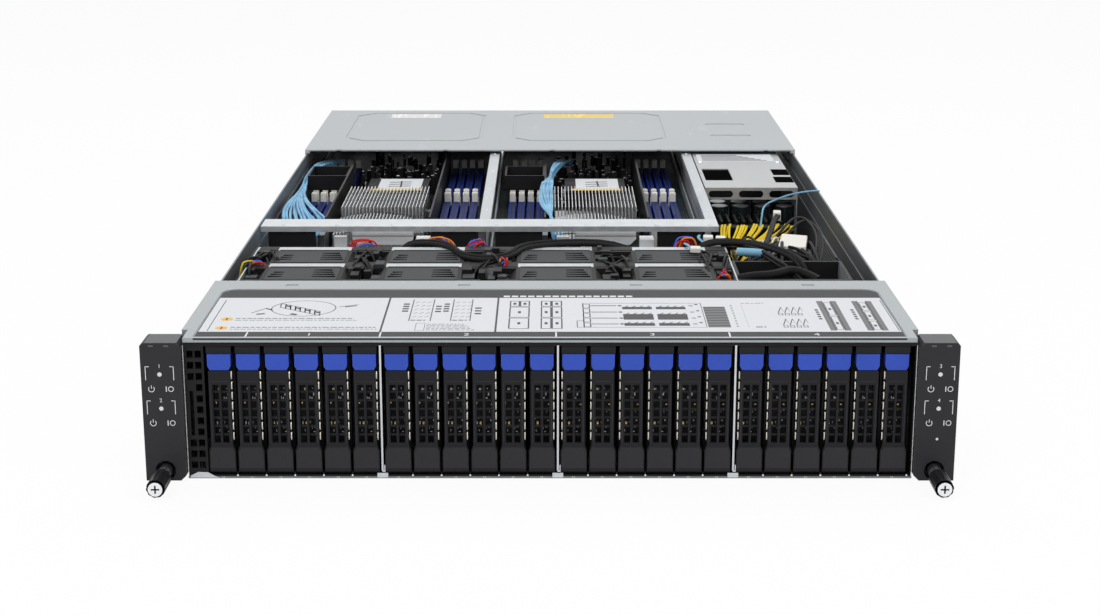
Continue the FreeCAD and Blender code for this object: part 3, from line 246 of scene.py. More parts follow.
@dataclass(frozen=True)
class Finish:
    """A surface finish with a name, a colour and a gloss."""

    name: str
    colour: Colour
    roughness: float = 0.5

    def draw(self, shader: Shader) -> None:
        """Draw the finish in a shader."""
        raise NotImplementedError

    def material(self) -> bpy.types.Material:
        """The finish's material, made on first use.

        Returns:
            The one material that all pieces in this finish share.
        """
        if self not in MADE:
            shader = Shader(bpy.data.materials.new(self.name))
            self.draw(shader)
            MADE[self] = shader.owner
        return MADE[self]


@dataclass(frozen=True)
class SheetSteel(Finish):
    """Zinc-plated sheet: pale crystals, fine rolling lines and a soft metal gloss."""

    metal: float = 0.75
    crystal: float = 260.0
    # glow: strength of an emission in the sheet's own colour; above zero it is painted light.
    glow: float = 0.0

    def draw(self, shader: Shader) -> None:
        """Crystals vary the colour and the gloss, and rolling lines run from front to rear.

        Args:
            shader: takes the finish.
        """
        tone = shader.grey(shader.cells(self.crystal).also("Color"))
        streak = shader.noise(900.0, 1.0, (1.0, 0.03, 1.0))
        dirt = shader.noise(9.0, 4.0)
        level = tone * 0.35 + streak * 0.25 + dirt * 0.4
        # Where glow is above zero, the emission is painted light, a glow from no lamp.
        shader.finish(
            Base_Color=shader.mix(level, shade(self.colour, 0.84), shade(self.colour, 1.12)),
            Metallic=self.metal,
            Roughness=self.roughness + (tone - 0.5) * 0.1 + (dirt - 0.5) * 0.12,
            Emission_Color=self.colour, Emission_Strength=self.glow,
            Normal=shader.bump(streak, 0.00002))


@dataclass(frozen=True)
class Powder(Finish):
    """Powder paint over steel: a very fine orange peel and a few faint scuffs."""

    metal: float = 0.0

    def draw(self, shader: Shader) -> None:
        """Fine peel in the normal, wide soft clouds in the colour.

        Args:
            shader: takes the finish.
        """
        peel = shader.noise(1400.0, 2.0)
        cloud = shader.noise(7.0, 3.0)
        scuff = shader.noise(60.0, 5.0, (1.0, 0.15, 1.0))
        rubbed = scuff > 0.66
        base = shader.mix(cloud, shade(self.colour, 0.94), shade(self.colour, 1.05))
        shader.finish(Base_Color=shader.mix(rubbed * 0.25, base, shade(self.colour, 1.15)),
                      Metallic=self.metal,
                      Roughness=self.roughness + (cloud - 0.5) * 0.12 - rubbed * 0.04,
                      Normal=shader.bump(peel, 0.00003))


@dataclass(frozen=True)
class Moulded(Finish):
    """Moulded plastic with a spark-eroded grain."""

    grain: float = 900.0
    coat: float = 0.0
    gleam: float = 0.2

    def draw(self, shader: Shader) -> None:
        """Grain in the normal, a little flow and handling wear in the gloss.

        Args:
            shader: takes the finish.
        """
        grain = shader.noise(self.grain, 3.0)
        flow = shader.noise(25.0, 3.0)
        shader.finish(Base_Color=shader.mix(flow, shade(self.colour, 0.82), shade(self.colour, 1.2)),
                      Roughness=self.roughness + (flow - 0.5) * 0.14 + (grain - 0.5) * 0.05,
                      Coat_Weight=self.coat, Specular_IOR_Level=self.gleam,
                      Normal=shader.bump(grain, 0.00003))


@dataclass(frozen=True)
class Printed(Finish):
    """Ink or film on a label: flat and slightly uneven."""

    gleam: float = 0.25

    def draw(self, shader: Shader) -> None:
        """A paper's soft unevenness.

        Args:
            shader: takes the finish.
        """
        fibre = shader.noise(500.0, 3.0)
        shader.finish(Base_Color=shader.mix(fibre, shade(self.colour, 0.95), shade(self.colour, 1.03)),
                      Roughness=self.roughness + (fibre - 0.5) * 0.1, Specular_IOR_Level=self.gleam)


@dataclass(frozen=True)
class CircuitBoard(Finish):
    """Solder mask over copper: traces show as slightly raised lines, with vias and pads."""

    trace_pitch: float = 1.6
    trace_width: float = 0.6
    part: Colour = (0.012, 0.012, 0.013)
    pad: Colour = (0.42, 0.4, 0.34)

    def draw(self, shader: Shader) -> None:
        """Traces run in short straight blocks, broken up by cells.

        Args:
            shader: takes the finish.
        """
        x, y, _ = shader.axes()
        pick = shader.grey(shader.cells(70.0).also("Color"))
        pitch, width = self.trace_pitch, self.trace_width
        along = ((x % pitch) < width) * (pick > 0.5) + ((y % pitch) < width) * (pick < 0.5)
        via = shader.cells(420.0) < 0.16
        dots = shader.grey(shader.cells(150.0).also("Color")) > 0.72
        base = shader.mix(along * 0.5, self.colour, shade(self.colour, 1.9))
        base = shader.mix(dots * 0.55, base, self.part)
        base = shader.mix(via * (pick > 0.42), base, self.pad)
        shader.finish(Base_Color=base, Roughness=self.roughness + pick * 0.15,
                      Metallic=via * 0.6, Specular_IOR_Level=0.08,
                      Normal=shader.bump(along, 0.00004))


@dataclass(frozen=True)
class Jacket(Finish):
    """The jacket of a thin wire."""

    change: float = 0.2

    def draw(self, shader: Shader) -> None:
        """Colour change at random along the wire, slight for most wires; a wide change also paints highlights and
        shade.

        Args:
            shader: takes the finish.
        """
        tone_and_sheen = shader.noise(80.0, 2.0)
        low, high = shade(self.colour, 1.0 - self.change), shade(self.colour, 1.0 + self.change)
        shader.finish(Base_Color=shader.mix(tone_and_sheen, low, high), Specular_IOR_Level=0.06,
                      Roughness=self.roughness + (tone_and_sheen - 0.5) * 0.15)


@dataclass(frozen=True)
class Braid(Finish):
    """Braided sleeve: a diamond weave of flat black strands."""

    pitch: float = 1.5

    def draw(self, shader: Shader) -> None:
        """Two sets of slanted strands cross over each other.

        Args:
            shader: takes the finish.
        """
        x, y, z = shader.axes()
        one = ((x + y + z) % self.pitch) / self.pitch
        two = ((x - y + z) % self.pitch) / self.pitch
        weave = abs(one - 0.5) + abs(two - 0.5)
        shader.finish(Base_Color=shader.mix(weave, shade(self.colour, 0.5), shade(self.colour, 2.2)),
                      Roughness=self.roughness + weave * 0.15, Specular_IOR_Level=0.06,
                      Normal=shader.bump(weave, 0.0002))


@dataclass(frozen=True)
class CarrierParts(Finish):
    """One carrier's parts, told apart by height and depth: black body, blue latch, bare drive."""

    latch: Colour = (0.035, 0.08, 0.45)
    drive: Colour = (0.45, 0.46, 0.48)
    latch_rows: Span = (67.4, 77.5)
    latch_back: float = -5.0
    drive_rows: Span = (4.6, 74.2)
    drive_front: float = 0.1

    def draw(self, shader: Shader) -> None:
        """The latch is a band behind the face, and the drive lies behind the upright.

        Args:
            shader: takes the finish.
        """
        _, y, z = shader.axes()
        latch = z.between(*self.latch_rows) * (y < self.latch_back)
        drive = z.between(*self.drive_rows) * (y > self.drive_front)
        grain = shader.noise(900.0, 3.0)
        wear = shader.noise(30.0, 3.0)
        black = shader.mix(wear, shade(self.colour, 0.7), shade(self.colour, 1.3))
        blue = shader.mix(wear, shade(self.latch, 0.85), shade(self.latch, 1.15))
        base = shader.mix(latch, black, blue)
        shader.finish(Base_Color=shader.mix(drive, base, self.drive),
                      Metallic=drive * 0.8,
                      Roughness=self.roughness + latch * 0.06 + (wear - 0.5) * 0.12,
                      Specular_IOR_Level=0.18, Normal=shader.bump(grain, 0.00003))


@dataclass(frozen=True)
class BoardParts(CircuitBoard):
    """A node board and its memory sockets: board below, blue sockets, cream end latches."""

    top: float = 50.3
    socket_top: float = 58.5
    latch_length: float = 6.05
    banks: Spans = ((374.0, 519.0), (527.0, 672.0))
    card_x: Span = (0.0, 0.0)
    card_y: Span = (500.0, 566.0)

    def draw(self, shader: Shader) -> None:
        """Sockets stand above the board, and their latches are higher or at their ends.

        Args:
            shader: takes the finish.
        """
        super().draw(shader)
        x, y, z = shader.axes()
        ends = z > self.socket_top
        for near, far in self.banks:
            for low, high in ((near - 1, near + self.latch_length), (far - self.latch_length, far + 1)):
                ends = shader.math("MAXIMUM", ends, y.between(low, high))
        wear = shader.noise(120.0, 2.0)
        blue = shader.mix(wear, (0.003, 0.011, 0.1), (0.008, 0.03, 0.22))
        cream = shader.mix(wear, (0.82, 0.8, 0.72), (0.98, 0.96, 0.9))
        card = x.between(*self.card_x) * y.between(*self.card_y)
        shader.over(z > self.top, shader.mix(card, shader.mix(ends, blue, cream), self.part))


@dataclass(frozen=True)
class ScrewEnd(Moulded):
    """A black knob, with a bright screw head and its cross recess in the knob's end."""

    axis: Flat = (229.5, 6.35)
    front: float = -55.0
    radius: float = 4.24
    cross: Flat = (0.5, 2.2)
    plating: Colour = (0.85, 0.86, 0.87)

    def draw(self, shader: Shader) -> None:
        """The head is a disc on the knob's front, and the cross is cut out of it.

        Args:
            shader: takes the finish.
        """
        super().draw(shader)
        x, y, z = shader.axes()
        across, up = abs(abs(x) - self.axis[0]), abs(z - self.axis[1])
        disc = ((across * across + up * up) < self.radius ** 2) * (y < self.front + 0.3)
        narrow, reach = self.cross
        cross = (across < narrow) * (up < reach) + (up < narrow) * (across < reach)
        head = disc * (1.0 - cross)
        shader.over(head, self.plating)
        shader.finish(Metallic=head * 0.3)


@dataclass(frozen=True)
class CageFront(SheetSteel):
    """The drive cage: plated steel with black front edges and a black end vent."""

    black: Colour = (0.009, 0.009, 0.01)
    black_back: float = -6.0
    lip_top: float = 1.2

    def draw(self, shader: Shader) -> None:
        """Everything near the front plane, above the lowest edge, is black.

        Args:
            shader: takes the finish.
        """
        super().draw(shader)
        _, y, z = shader.axes()
        black = (y < self.black_back) * (z > self.lip_top)
        shader.over(black, self.black)
        shader.finish(Metallic=(1.0 - black) * self.metal, Specular_IOR_Level=0.2)


@dataclass(frozen=True)
class Stickered(Powder):
    """Cover paint with two stickers near the far edge: a white one and an amber one."""

    rows: Span = (777.0, 799.0)
    top: float = 86.0
    line_pitch: float = 5.5
    line_width: float = 1.6
    print: Colour = (0.1, 0.1, 0.1)
    stickers: tuple[tuple[Span, Colour], ...] = (((-157.0, -108.0), (0.8, 0.8, 0.8)),
                                                 ((-6.0, 62.5), (0.85, 0.62, 0.1)))

    def draw(self, shader: Shader) -> None:
        """Each sticker is a block of colour with a few lines of print.

        Args:
            shader: takes the finish.
        """
        super().draw(shader)
        x, y, z = shader.axes()
        strip = y.between(*self.rows) * (z > self.top)
        words = shader.noise(260.0, 1.0, (1.0, 0.1, 1.0)) > 0.45
        lines = ((y % self.line_pitch) < self.line_width) * words
        for span, paint in self.stickers:
            patch = strip * x.between(*span)
            shader.over(patch, paint)
            shader.over(patch * lines * 0.7, self.print)


@dataclass(frozen=True)
class Perforated(SheetSteel):
    """Plated sheet with a field of round holes."""

    pitch: float = 3.2
    radius: float = 1.05
    hole: Colour = (0.02, 0.02, 0.02)

    def draw(self, shader: Shader) -> None:
        """Round dark holes in rows on a plate that stands upright along the depth.

        Args:
            shader: takes the finish.
        """
        super().draw(shader)
        _, y, z = shader.axes()
        a, b = (abs((part % self.pitch) - self.pitch / 2) for part in (y, z))
        hole = (a * a + b * b) < self.radius ** 2
        shader.over(hole, self.hole)
        shader.finish(Metallic=(1.0 - hole) * self.metal)


class Steel:
    """Metal finishes."""

    ZINC = SheetSteel("zinc_sheet", (0.5, 0.525, 0.545), 0.42)
    # Painted shade: a darker copy of the zinc sheet, for the tray whose inside lies in shade.
    WALL_SHADED = SheetSteel("wall_sheet_painted_shade", (0.19, 0.2, 0.21), 0.45)
    CAGE = SheetSteel("cage_sheet", (0.44, 0.455, 0.465), 0.4)
    DARK = SheetSteel("shadow_sheet", (0.2, 0.21, 0.22), 0.45)
    FRONT = CageFront("cage_front", (0.2, 0.21, 0.22), 0.5)
    HOLED = Perforated("holed_sheet", (0.6, 0.62, 0.63), 0.4)
    CASE = Powder("supply_paint", (0.02, 0.02, 0.021), 0.5)
    CAN_TOP = SheetSteel("can_top", (0.5, 0.51, 0.53), 0.4)
    # Painted light: the clamp plate's near-white colour and its emission stand in for light that the cross beam's
    # shadow keeps off it.
    PLATE_PAINTED_LIGHT = SheetSteel("clamp_plate_painted_light", (0.93, 0.95, 0.96), 0.4, metal=0.15, glow=0.14)
    # Painted highlight: a lighter copy of the zinc sheet, laid over the cross beam's top so that it shows lit.
    BEAM_HIGHLIGHT = SheetSteel("beam_sheet_painted_highlight", (0.58, 0.605, 0.62), 0.42)
    SPRING = SheetSteel("spring_plating", (0.72, 0.69, 0.58), 0.4, metal=0.4)
    BRIGHT = SheetSteel("bright_steel", (0.8, 0.81, 0.82), 0.25, metal=1.0, crystal=500.0)
    FIN = SheetSteel("fin_aluminium", (0.8, 0.81, 0.82), 0.3, metal=0.85, crystal=800.0)
    COVER = Powder("cover_paint", (0.35, 0.375, 0.388), 0.42, metal=0.25)
    REAR_COVER = Stickered("rear_cover_paint", (0.39, 0.415, 0.43), 0.42, metal=0.25)
    GOLD = SheetSteel("gold_plate", (0.75, 0.55, 0.2), 0.3, metal=1.0, crystal=500.0)


class Plastic:
    """Plastic and rubber finishes."""

    EAR = Moulded("ear_plastic", (0.024, 0.0235, 0.027), 0.5)
    EAR_TOP = Moulded("ear_top_plastic", (0.1, 0.103, 0.108), 0.5)
    CARRIER = CarrierParts("carrier_plastic", (0.011, 0.011, 0.013), 0.42)
    LEVER = Moulded("lever_plastic", (0.011, 0.011, 0.013), 0.4, gleam=0.18)
    GLOSS = Moulded("gloss_plastic", (0.02, 0.0195, 0.023), 0.3, coat=0.08)
    LATCH = Moulded("latch_plastic", (0.035, 0.08, 0.45), 0.42)
    FAN = Moulded("fan_plastic", (0.036, 0.039, 0.041), 0.55, gleam=0.14)
    SLOT = Moulded("slot_shadow", (0.004, 0.004, 0.004), 0.8, gleam=0.0)
    ROTOR = Moulded("rotor_plastic", (0.012, 0.012, 0.013), 0.5, gleam=0.12)
    BAFFLE = Moulded("baffle_plastic", (0.01, 0.01, 0.011), 0.45, gleam=0.15)
    BLACK = Moulded("black_plastic", (0.01, 0.01, 0.011), 0.5, gleam=0.12)
    KNOB = ScrewEnd("knob_plastic", (0.014, 0.014, 0.015), 0.35)
    WHITE = Moulded("connector_white", (0.72, 0.71, 0.66), 0.5)
    CREAM = Moulded("latch_cream", (0.7, 0.68, 0.58), 0.5)
    CAN = Moulded("can_sleeve", (0.018, 0.018, 0.02), 0.3)


class Ink:
    """Label films and inks."""

    WHITE = Printed("label_white", (0.63, 0.645, 0.675), 0.45)
    BAND = Printed("label_band", (0.04, 0.043, 0.046), 0.5, gleam=0.12)
    LINE = Printed("label_line", (0.035, 0.035, 0.04), 0.5)
    PALE = Printed("label_pale", (0.3, 0.31, 0.33), 0.5)
    GREY = Printed("label_grey", (0.17, 0.175, 0.185), 0.5)
    BLOCK = Printed("label_block", (0.14, 0.145, 0.15), 0.5)
    AMBER = Printed("label_amber", (0.75, 0.42, 0.07), 0.5)
    YELLOW = Printed("sticker_yellow", (0.8, 0.55, 0.05), 0.5)
    MARK = Printed("mark_white", (0.7, 0.7, 0.7), 0.5)


class Cable:
    """Wire and cable finishes."""

    # Its wide colour change paints highlights and dark gaps between the strands, besides random tone.
    BLUE = Jacket("data_cable", (0.22, 0.45, 0.72), 0.4, change=0.6)
    RED = Jacket("wire_red", (0.55, 0.02, 0.015), 0.4)
    ORANGE = Jacket("wire_orange", (0.7, 0.22, 0.02), 0.4)
    YELLOW = Jacket("wire_yellow", (0.75, 0.55, 0.03), 0.4)
    BLACK = Jacket("wire_black", (0.009, 0.009, 0.01), 0.45)
    NAVY = Jacket("wire_navy", (0.05, 0.14, 0.6), 0.4)
    WHITE = Jacket("wire_white", (0.7, 0.7, 0.68), 0.4)
    SLEEVE = Braid("braided_sleeve", (0.012, 0.012, 0.013), 0.55)
    TWEED = Braid("tweed_sleeve", (0.035, 0.035, 0.035), 0.55)
    TAPE = Jacket("tape_blue", (0.22, 0.45, 0.62), 0.45)
    GREEN = Jacket("wire_green", (0.05, 0.4, 0.12), 0.4)


BOARD = CircuitBoard("board_mask", (0.006, 0.012, 0.012), 0.4)


# ---- Pieces ----


class Axis(Enum):
    """A direction of the frame, with the order of coordinates for a shape drawn across it."""

    X = (2, 0, 1)
    Y = (0, 2, 1)
    Z = (0, 1, 2)

    def point(self, a: float, b: float, along: float) -> Point:
        """A point from two flat coordinates and the distance along the axis."""
        return tuple((a, b, along)[index] for index in self.value)

    def parts(self, point: Point) -> Point:
        """A point's two flat coordinates and its distance along the axis."""
        return tuple(point[self.value.index(index)] for index in range(3))


class Piece:
    """One object in the making: boxes, plates and turned shapes, each with its finish."""

    def __init__(self, name: str) -> None:
        """Start with nothing.

        Args:
            name: the object's name.
        """
        self.name = name
        self.points: list[Point] = []
        self.faces: list[tuple[int, ...]] = []
        self.paint: list[int] = []
        self.finishes: list[Finish] = []

    def skin(self, points: Sequence[Point], faces: Iterable[Sequence[int]], finish: Finish) -> None:
        """Add points and faces in one finish.

        Args:
            points: the corners.
            faces: the corners' numbers, round each face.
            finish: of all these faces.
        """
        if finish not in self.finishes:
            self.finishes.append(finish)
        start = len(self.points)
        self.points += points
        for face in faces:
            self.faces.append(tuple(start + index for index in face))
            self.paint.append(self.finishes.index(finish))

    def prism(self, outline: Sequence[Flat], low: float, high: float, finish: Finish,
              axis: Axis = Axis.Z) -> None:
        """A flat outline made thick along an axis.

        Args:
            outline: its corners.
            low: where it starts along the axis.
            high: where it ends.
            finish: of all its faces.
            axis: the direction it is made thick in.
        """
        count = len(outline)
        points = [axis.point(a, b, along) for along in (low, high) for a, b in outline]
        sides = [(i, (i + 1) % count, (i + 1) % count + count, i + count) for i in range(count)]
        ends = [tuple(range(count))[::-1], tuple(range(count, 2 * count))]
        self.skin(points, sides + ends, finish)

    def box(self, x: Flat, y: Flat, z: Flat, finish: Finish) -> None:
        """A block between two corners."""
        self.prism([(x[0], y[0]), (x[1], y[0]), (x[1], y[1]), (x[0], y[1])], z[0], z[1], finish)

    def turned(self, centre: Point, profile: Sequence[Flat], finish: Finish, axis: Axis = Axis.Z,
               sides: int = 20) -> None:
        """A turned shape.

        Args:
            centre: where its axis starts.
            profile: pairs of a radius and a distance along the axis.
            finish: of all its faces.
            axis: the direction of its axis.
            sides: how many flats stand for the round.
        """
        middle = axis.parts(centre)
        points = []
        for radius, along in profile:
            for k in range(sides):
                angle = 2 * math.pi * k / sides
                points.append(axis.point(middle[0] + radius * math.cos(angle),
                                         middle[1] + radius * math.sin(angle), middle[2] + along))
        faces = [tuple(range(sides))[::-1], tuple(range(len(points) - sides, len(points)))]
        for ring in range(len(profile) - 1):
            base = ring * sides
            faces += [(base + k, base + (k + 1) % sides, base + sides + (k + 1) % sides,
                       base + sides + k) for k in range(sides)]
        self.skin(points, faces, finish)

    def line(self, start: Flat, end: Flat, width: float, z: Flat, finish: Finish) -> None:
        """A straight printed or raised line on a level face.

        Args:
            start: one end of it.
            end: the other end.
            width: across the line.
            z: its lower and upper face.
            finish: its ink.
        """
        run = Vector(end) - Vector(start)
        side = Vector((-run.y, run.x)).normalized() * (width / 2)
        corners = [Vector(start) + side, Vector(start) - side, Vector(end) - side, Vector(end) + side]
        self.prism([(c.x, c.y) for c in reversed(corners)], z[0], z[1], finish)

    def mesh(self) -> bpy.types.Mesh:
        """The mesh so far.

        Returns:
            The mesh in metres, with its faces turned outwards.
        """
        data = bpy.data.meshes.new(self.name)
        data.from_pydata([tuple(part * MM for part in point) for point in self.points], [], self.faces)
        for finish in self.finishes:
            data.materials.append(finish.material())
        data.polygons.foreach_set("material_index", self.paint)
        work = bmesh.new()
        work.from_mesh(data)
        bmesh.ops.recalc_face_normals(work, faces=work.faces)
        work.to_mesh(data)
        work.free()
        return data

    def build(self, body: str, slot: str, bevel: float = 0.0) -> bpy.types.Object:
        """Make the object and let it ride on a body.

        Args:
            body: the body that carries the piece.
            slot: not used.
            bevel: width of its rounded edges, or zero.

        Returns:
            The new object.
        """
        return stand(self.name, self.mesh(), body, bevel=bevel)


def put(name: str, data: bpy.types.ID) -> bpy.types.Object:
    """Make an object of some data and put it in the scene.

    Args:
        name: the object's name.
        data: its mesh, curve, light or camera.

    Returns:
        The new object.
    """
    thing = bpy.data.objects.new(name, data)
    bpy.context.scene.collection.objects.link(thing)
    return thing


def stand(name: str, data: bpy.types.ID, body: str, at: Point = (0.0, 0.0, 0.0),
          turn: Point = (0.0, 0.0, 0.0), bevel: float = 0.0) -> bpy.types.Object:
    """Place a mesh or a curve as an object on a body.

    Args:
        name: the object's name.
        data: its mesh or curve, which several objects may share.
        body: the body it rides on.
        at: its place in millimetres.
        turn: its turn about each axis, in radians.
        bevel: width of its rounded edges, or zero.

    Returns:
        The new object.
    """
    thing = put(name, data)
    thing.location = [part * MM for part in at]
    thing.rotation_euler = turn
    if bevel:
        rounding = thing.modifiers.new("rounding", "BEVEL")
        rounding.width = bevel * MM
        rounding.segments = 2
        rounding.limit_method = "ANGLE"
    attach(thing, body)
    return thing


def wires(name: str, routes: Sequence[Sequence[Point]], radius: float, finish: Finish, body: str) -> bpy.types.Object:
    """Round wires along smooth routes, all in one object.

    Args:
        name: the object's name.
        routes: the corner points of each wire.
        radius: of every wire.
        finish: of the jackets.
        body: the body that carries them.

    Returns:
        The new object.
    """
    data = bpy.data.curves.new(name, "CURVE")
    data.dimensions = "3D"
    data.bevel_depth = radius * MM
    data.bevel_resolution = 2
    data.resolution_u = 6
    data.use_fill_caps = True
    data.materials.append(finish.material())
    for route in routes:
        spline = data.splines.new("NURBS")
        spline.points.add(len(route) - 1)
        for point, place in zip(spline.points, route):
            point.co = (*(part * MM for part in place), 1.0)
        spline.order_u = 3
        spline.use_endpoint_u = True
    return stand(name, data, body)


def lettering(name: str, text: str, size: float, thick: float, body: str, at: Point,
              turn: Point = (0.0, 0.0, 0.0)) -> None:
    """White printed figures, centred over a point.

    Args:
        name: the object's name.
        text: the figures.
        size: height of a line of them.
        thick: how far they stand out to each side of their plane.
        body: the body that carries them.
        at: their place in millimetres.
        turn: their turn about each axis, in radians.
    """
    data = bpy.data.curves.new(name, "FONT")
    data.body = text
    data.size = size * MM
    data.align_x = "CENTER"
    data.extrude = thick * MM
    data.materials.append(Ink.MARK.material())
    stand(name, data, body, at, turn)


def bundle(route: Sequence[Point], count: int, spread: float, seed: int,
           loose: float = 0.0) -> list[list[Point]]:
    """Routes of several wires that keep together along one route.

    Args:
        route: the middle of the bundle.
        count: how many wires.
        spread: how far a wire lies from the middle.
        seed: fixes the arrangement.
        loose: how far a wire wanders between its points.

    Returns:
        One route for each wire.
    """
    pick = random.Random(seed)
    routes = []
    for _ in range(count):
        shift = [pick.uniform(-spread, spread) for _ in range(3)]
        routes.append([tuple(part + move + pick.uniform(-loose, loose)
                             for part, move in zip(point, shift)) for point in route])
    return routes


def scattered(pick: random.Random, count: int, *spans: Span) -> Iterator[tuple[float, ...]]:
    """Random places and sizes for small parts.

    Args:
        pick: where the numbers come from.
        count: how many parts.
        spans: the limits of each number, in the order they are drawn in.

    Yields:
        One number from each span, for one part.
    """
    for _ in range(count):
        yield tuple(pick.uniform(*span) for span in spans)


def dress(finish: Finish, *nodes: str) -> None:
    """Give carried-over nodes a finish.

    Args:
        finish: the one that replaces what the nodes have.
        nodes: their names.
    """
    for name in nodes:
        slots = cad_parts[name].data.materials
        slots.clear()
        slots.append(finish.material())


def middle(node: str) -> Point:
    """Centre of a node's box in millimetres."""
    low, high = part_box(node)
    return tuple((a + b) / 2 / MM for a, b in zip(low, high))


# ---- Sub-assemblies ----


@dataclass
class Chassis:
    """Tray, cages, boards and the steel structure."""

    rivet_radius: float = 1.6
    beam_top: float = 83.8
    beam_x: Span = (-216.6, 126.3)
    beam_y: Span = (300.3, 325.7)
    beam_rivets: range = range(-200, 121, 40)
    partitions: Places = (-49.4, 122.3)
    partition_rivets: range = range(360, 800, 80)
    blocker_width: float = 76.4
    blocker_y: Span = (144.0, 198.0)
    blocker_foot: float = 4.0
    blocker_floor: float = 34.0
    blocker_top: float = 81.8
    rim: float = 2.0
    lining: float = 0.3
    lid: float = 0.2
    curtain_spans: Spans = ((-78.0, -42.5), (44.0, 79.5))
    curtain_y: Span = (302.4, 303.6)
    curtain_z: Span = (52.0, 79.6)

    def dress(self) -> None:
        """Finish the carried-over nodes."""
        # The tray takes the darker copy of the zinc sheet, which is painted shade.
        dress(Steel.WALL_SHADED, "chassis_tray")
        dress(Steel.FRONT, "drive_cage")
        dress(Steel.CAGE, "psu_cage")
        dress(Steel.ZINC, "node_bay_frame", "fan_cage")
        dress(BOARD, "drive_backplane", "midplane")

    def duct_blocker(self) -> None:
        """Black lining of the duct blocker, which is moulded."""
        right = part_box("fan_cage")[1].x / MM
        left, top = right - self.blocker_width, self.blocker_top
        near, far = self.blocker_y
        rim, wall, floor = self.rim, self.lining, self.blocker_floor
        outside, lid = (self.blocker_foot, top + self.lid), (top, top + self.lid)
        part = Piece("blocker_lining")
        for y in ((near - wall, near), (far, far + wall)):
            part.box((left - wall, right + wall), y, outside, Plastic.BLACK)
        for x in ((left - wall, left), (right, right + wall)):
            part.box(x, (near, far), outside, Plastic.BLACK)
        for y in ((near, near + rim), (far - rim, far)):
            part.box((left, right), y, lid, Plastic.FAN)
        for x in ((left, left + rim), (right - rim, right)):
            part.box(x, (near + rim, far - rim), lid, Plastic.FAN)
        for y in ((near + rim, near + rim + wall), (far - rim - wall, far - rim)):
            part.box((left + rim, right - rim), y, (floor + 1.0, top), Plastic.BLACK)
        part.box((left + rim + 0.2, right - rim - 0.2), (near + rim + wall, far - rim - wall),
                 (floor, floor + 0.4), Plastic.BLACK)
        part.build("chassis", "fan_plastic")

    def wall_fittings(self) -> None:
        """Rivets and pressed screw seats along the cross beam and the partitions, and a painted highlight on the
        beam's top.
        """
        part = Piece("rivets")
        top, radius = self.beam_top, self.rivet_radius
        domed = [(radius, 0), (radius * 0.9, 0.5), (radius * 0.4, 0.7)]
        low = [(radius, 0), (radius * 0.5, 0.6)]
        for x in self.beam_rivets:
            part.turned((x, self.beam_y[0] + 4.2, top), domed, Steel.ZINC, sides=12)
        for x in self.partitions:
            for y in self.partition_rivets:
                part.turned((x, y, top), low, Steel.ZINC, sides=12)
        # A thin lighter sheet over the beam's top: a painted highlight.
        part.box(self.beam_x, self.beam_y, (top, top + 0.1), Steel.BEAM_HIGHLIGHT)
        part.build("chassis", "zinc_steel")

    def shade_curtains(self) -> None:
        """Black panels that hang from the cross beam, beside the front heatsinks: painted shade for the dark space
        under the beam.
        """
        part = Piece("shade_curtains")
        for centre in NODE_MIDDLES.values():
            for left, right in self.curtain_spans:
                # Painted shade: black panels that darken the space under the beam.
                part.box((centre + left, centre + right), self.curtain_y, self.curtain_z, Plastic.BLACK)
        part.build("chassis", "baffle_black")

    def build(self) -> None:
        """Make everything of this sub-assembly."""
        self.dress()
        self.duct_blocker()
        self.shade_curtains()
        self.wall_fittings()


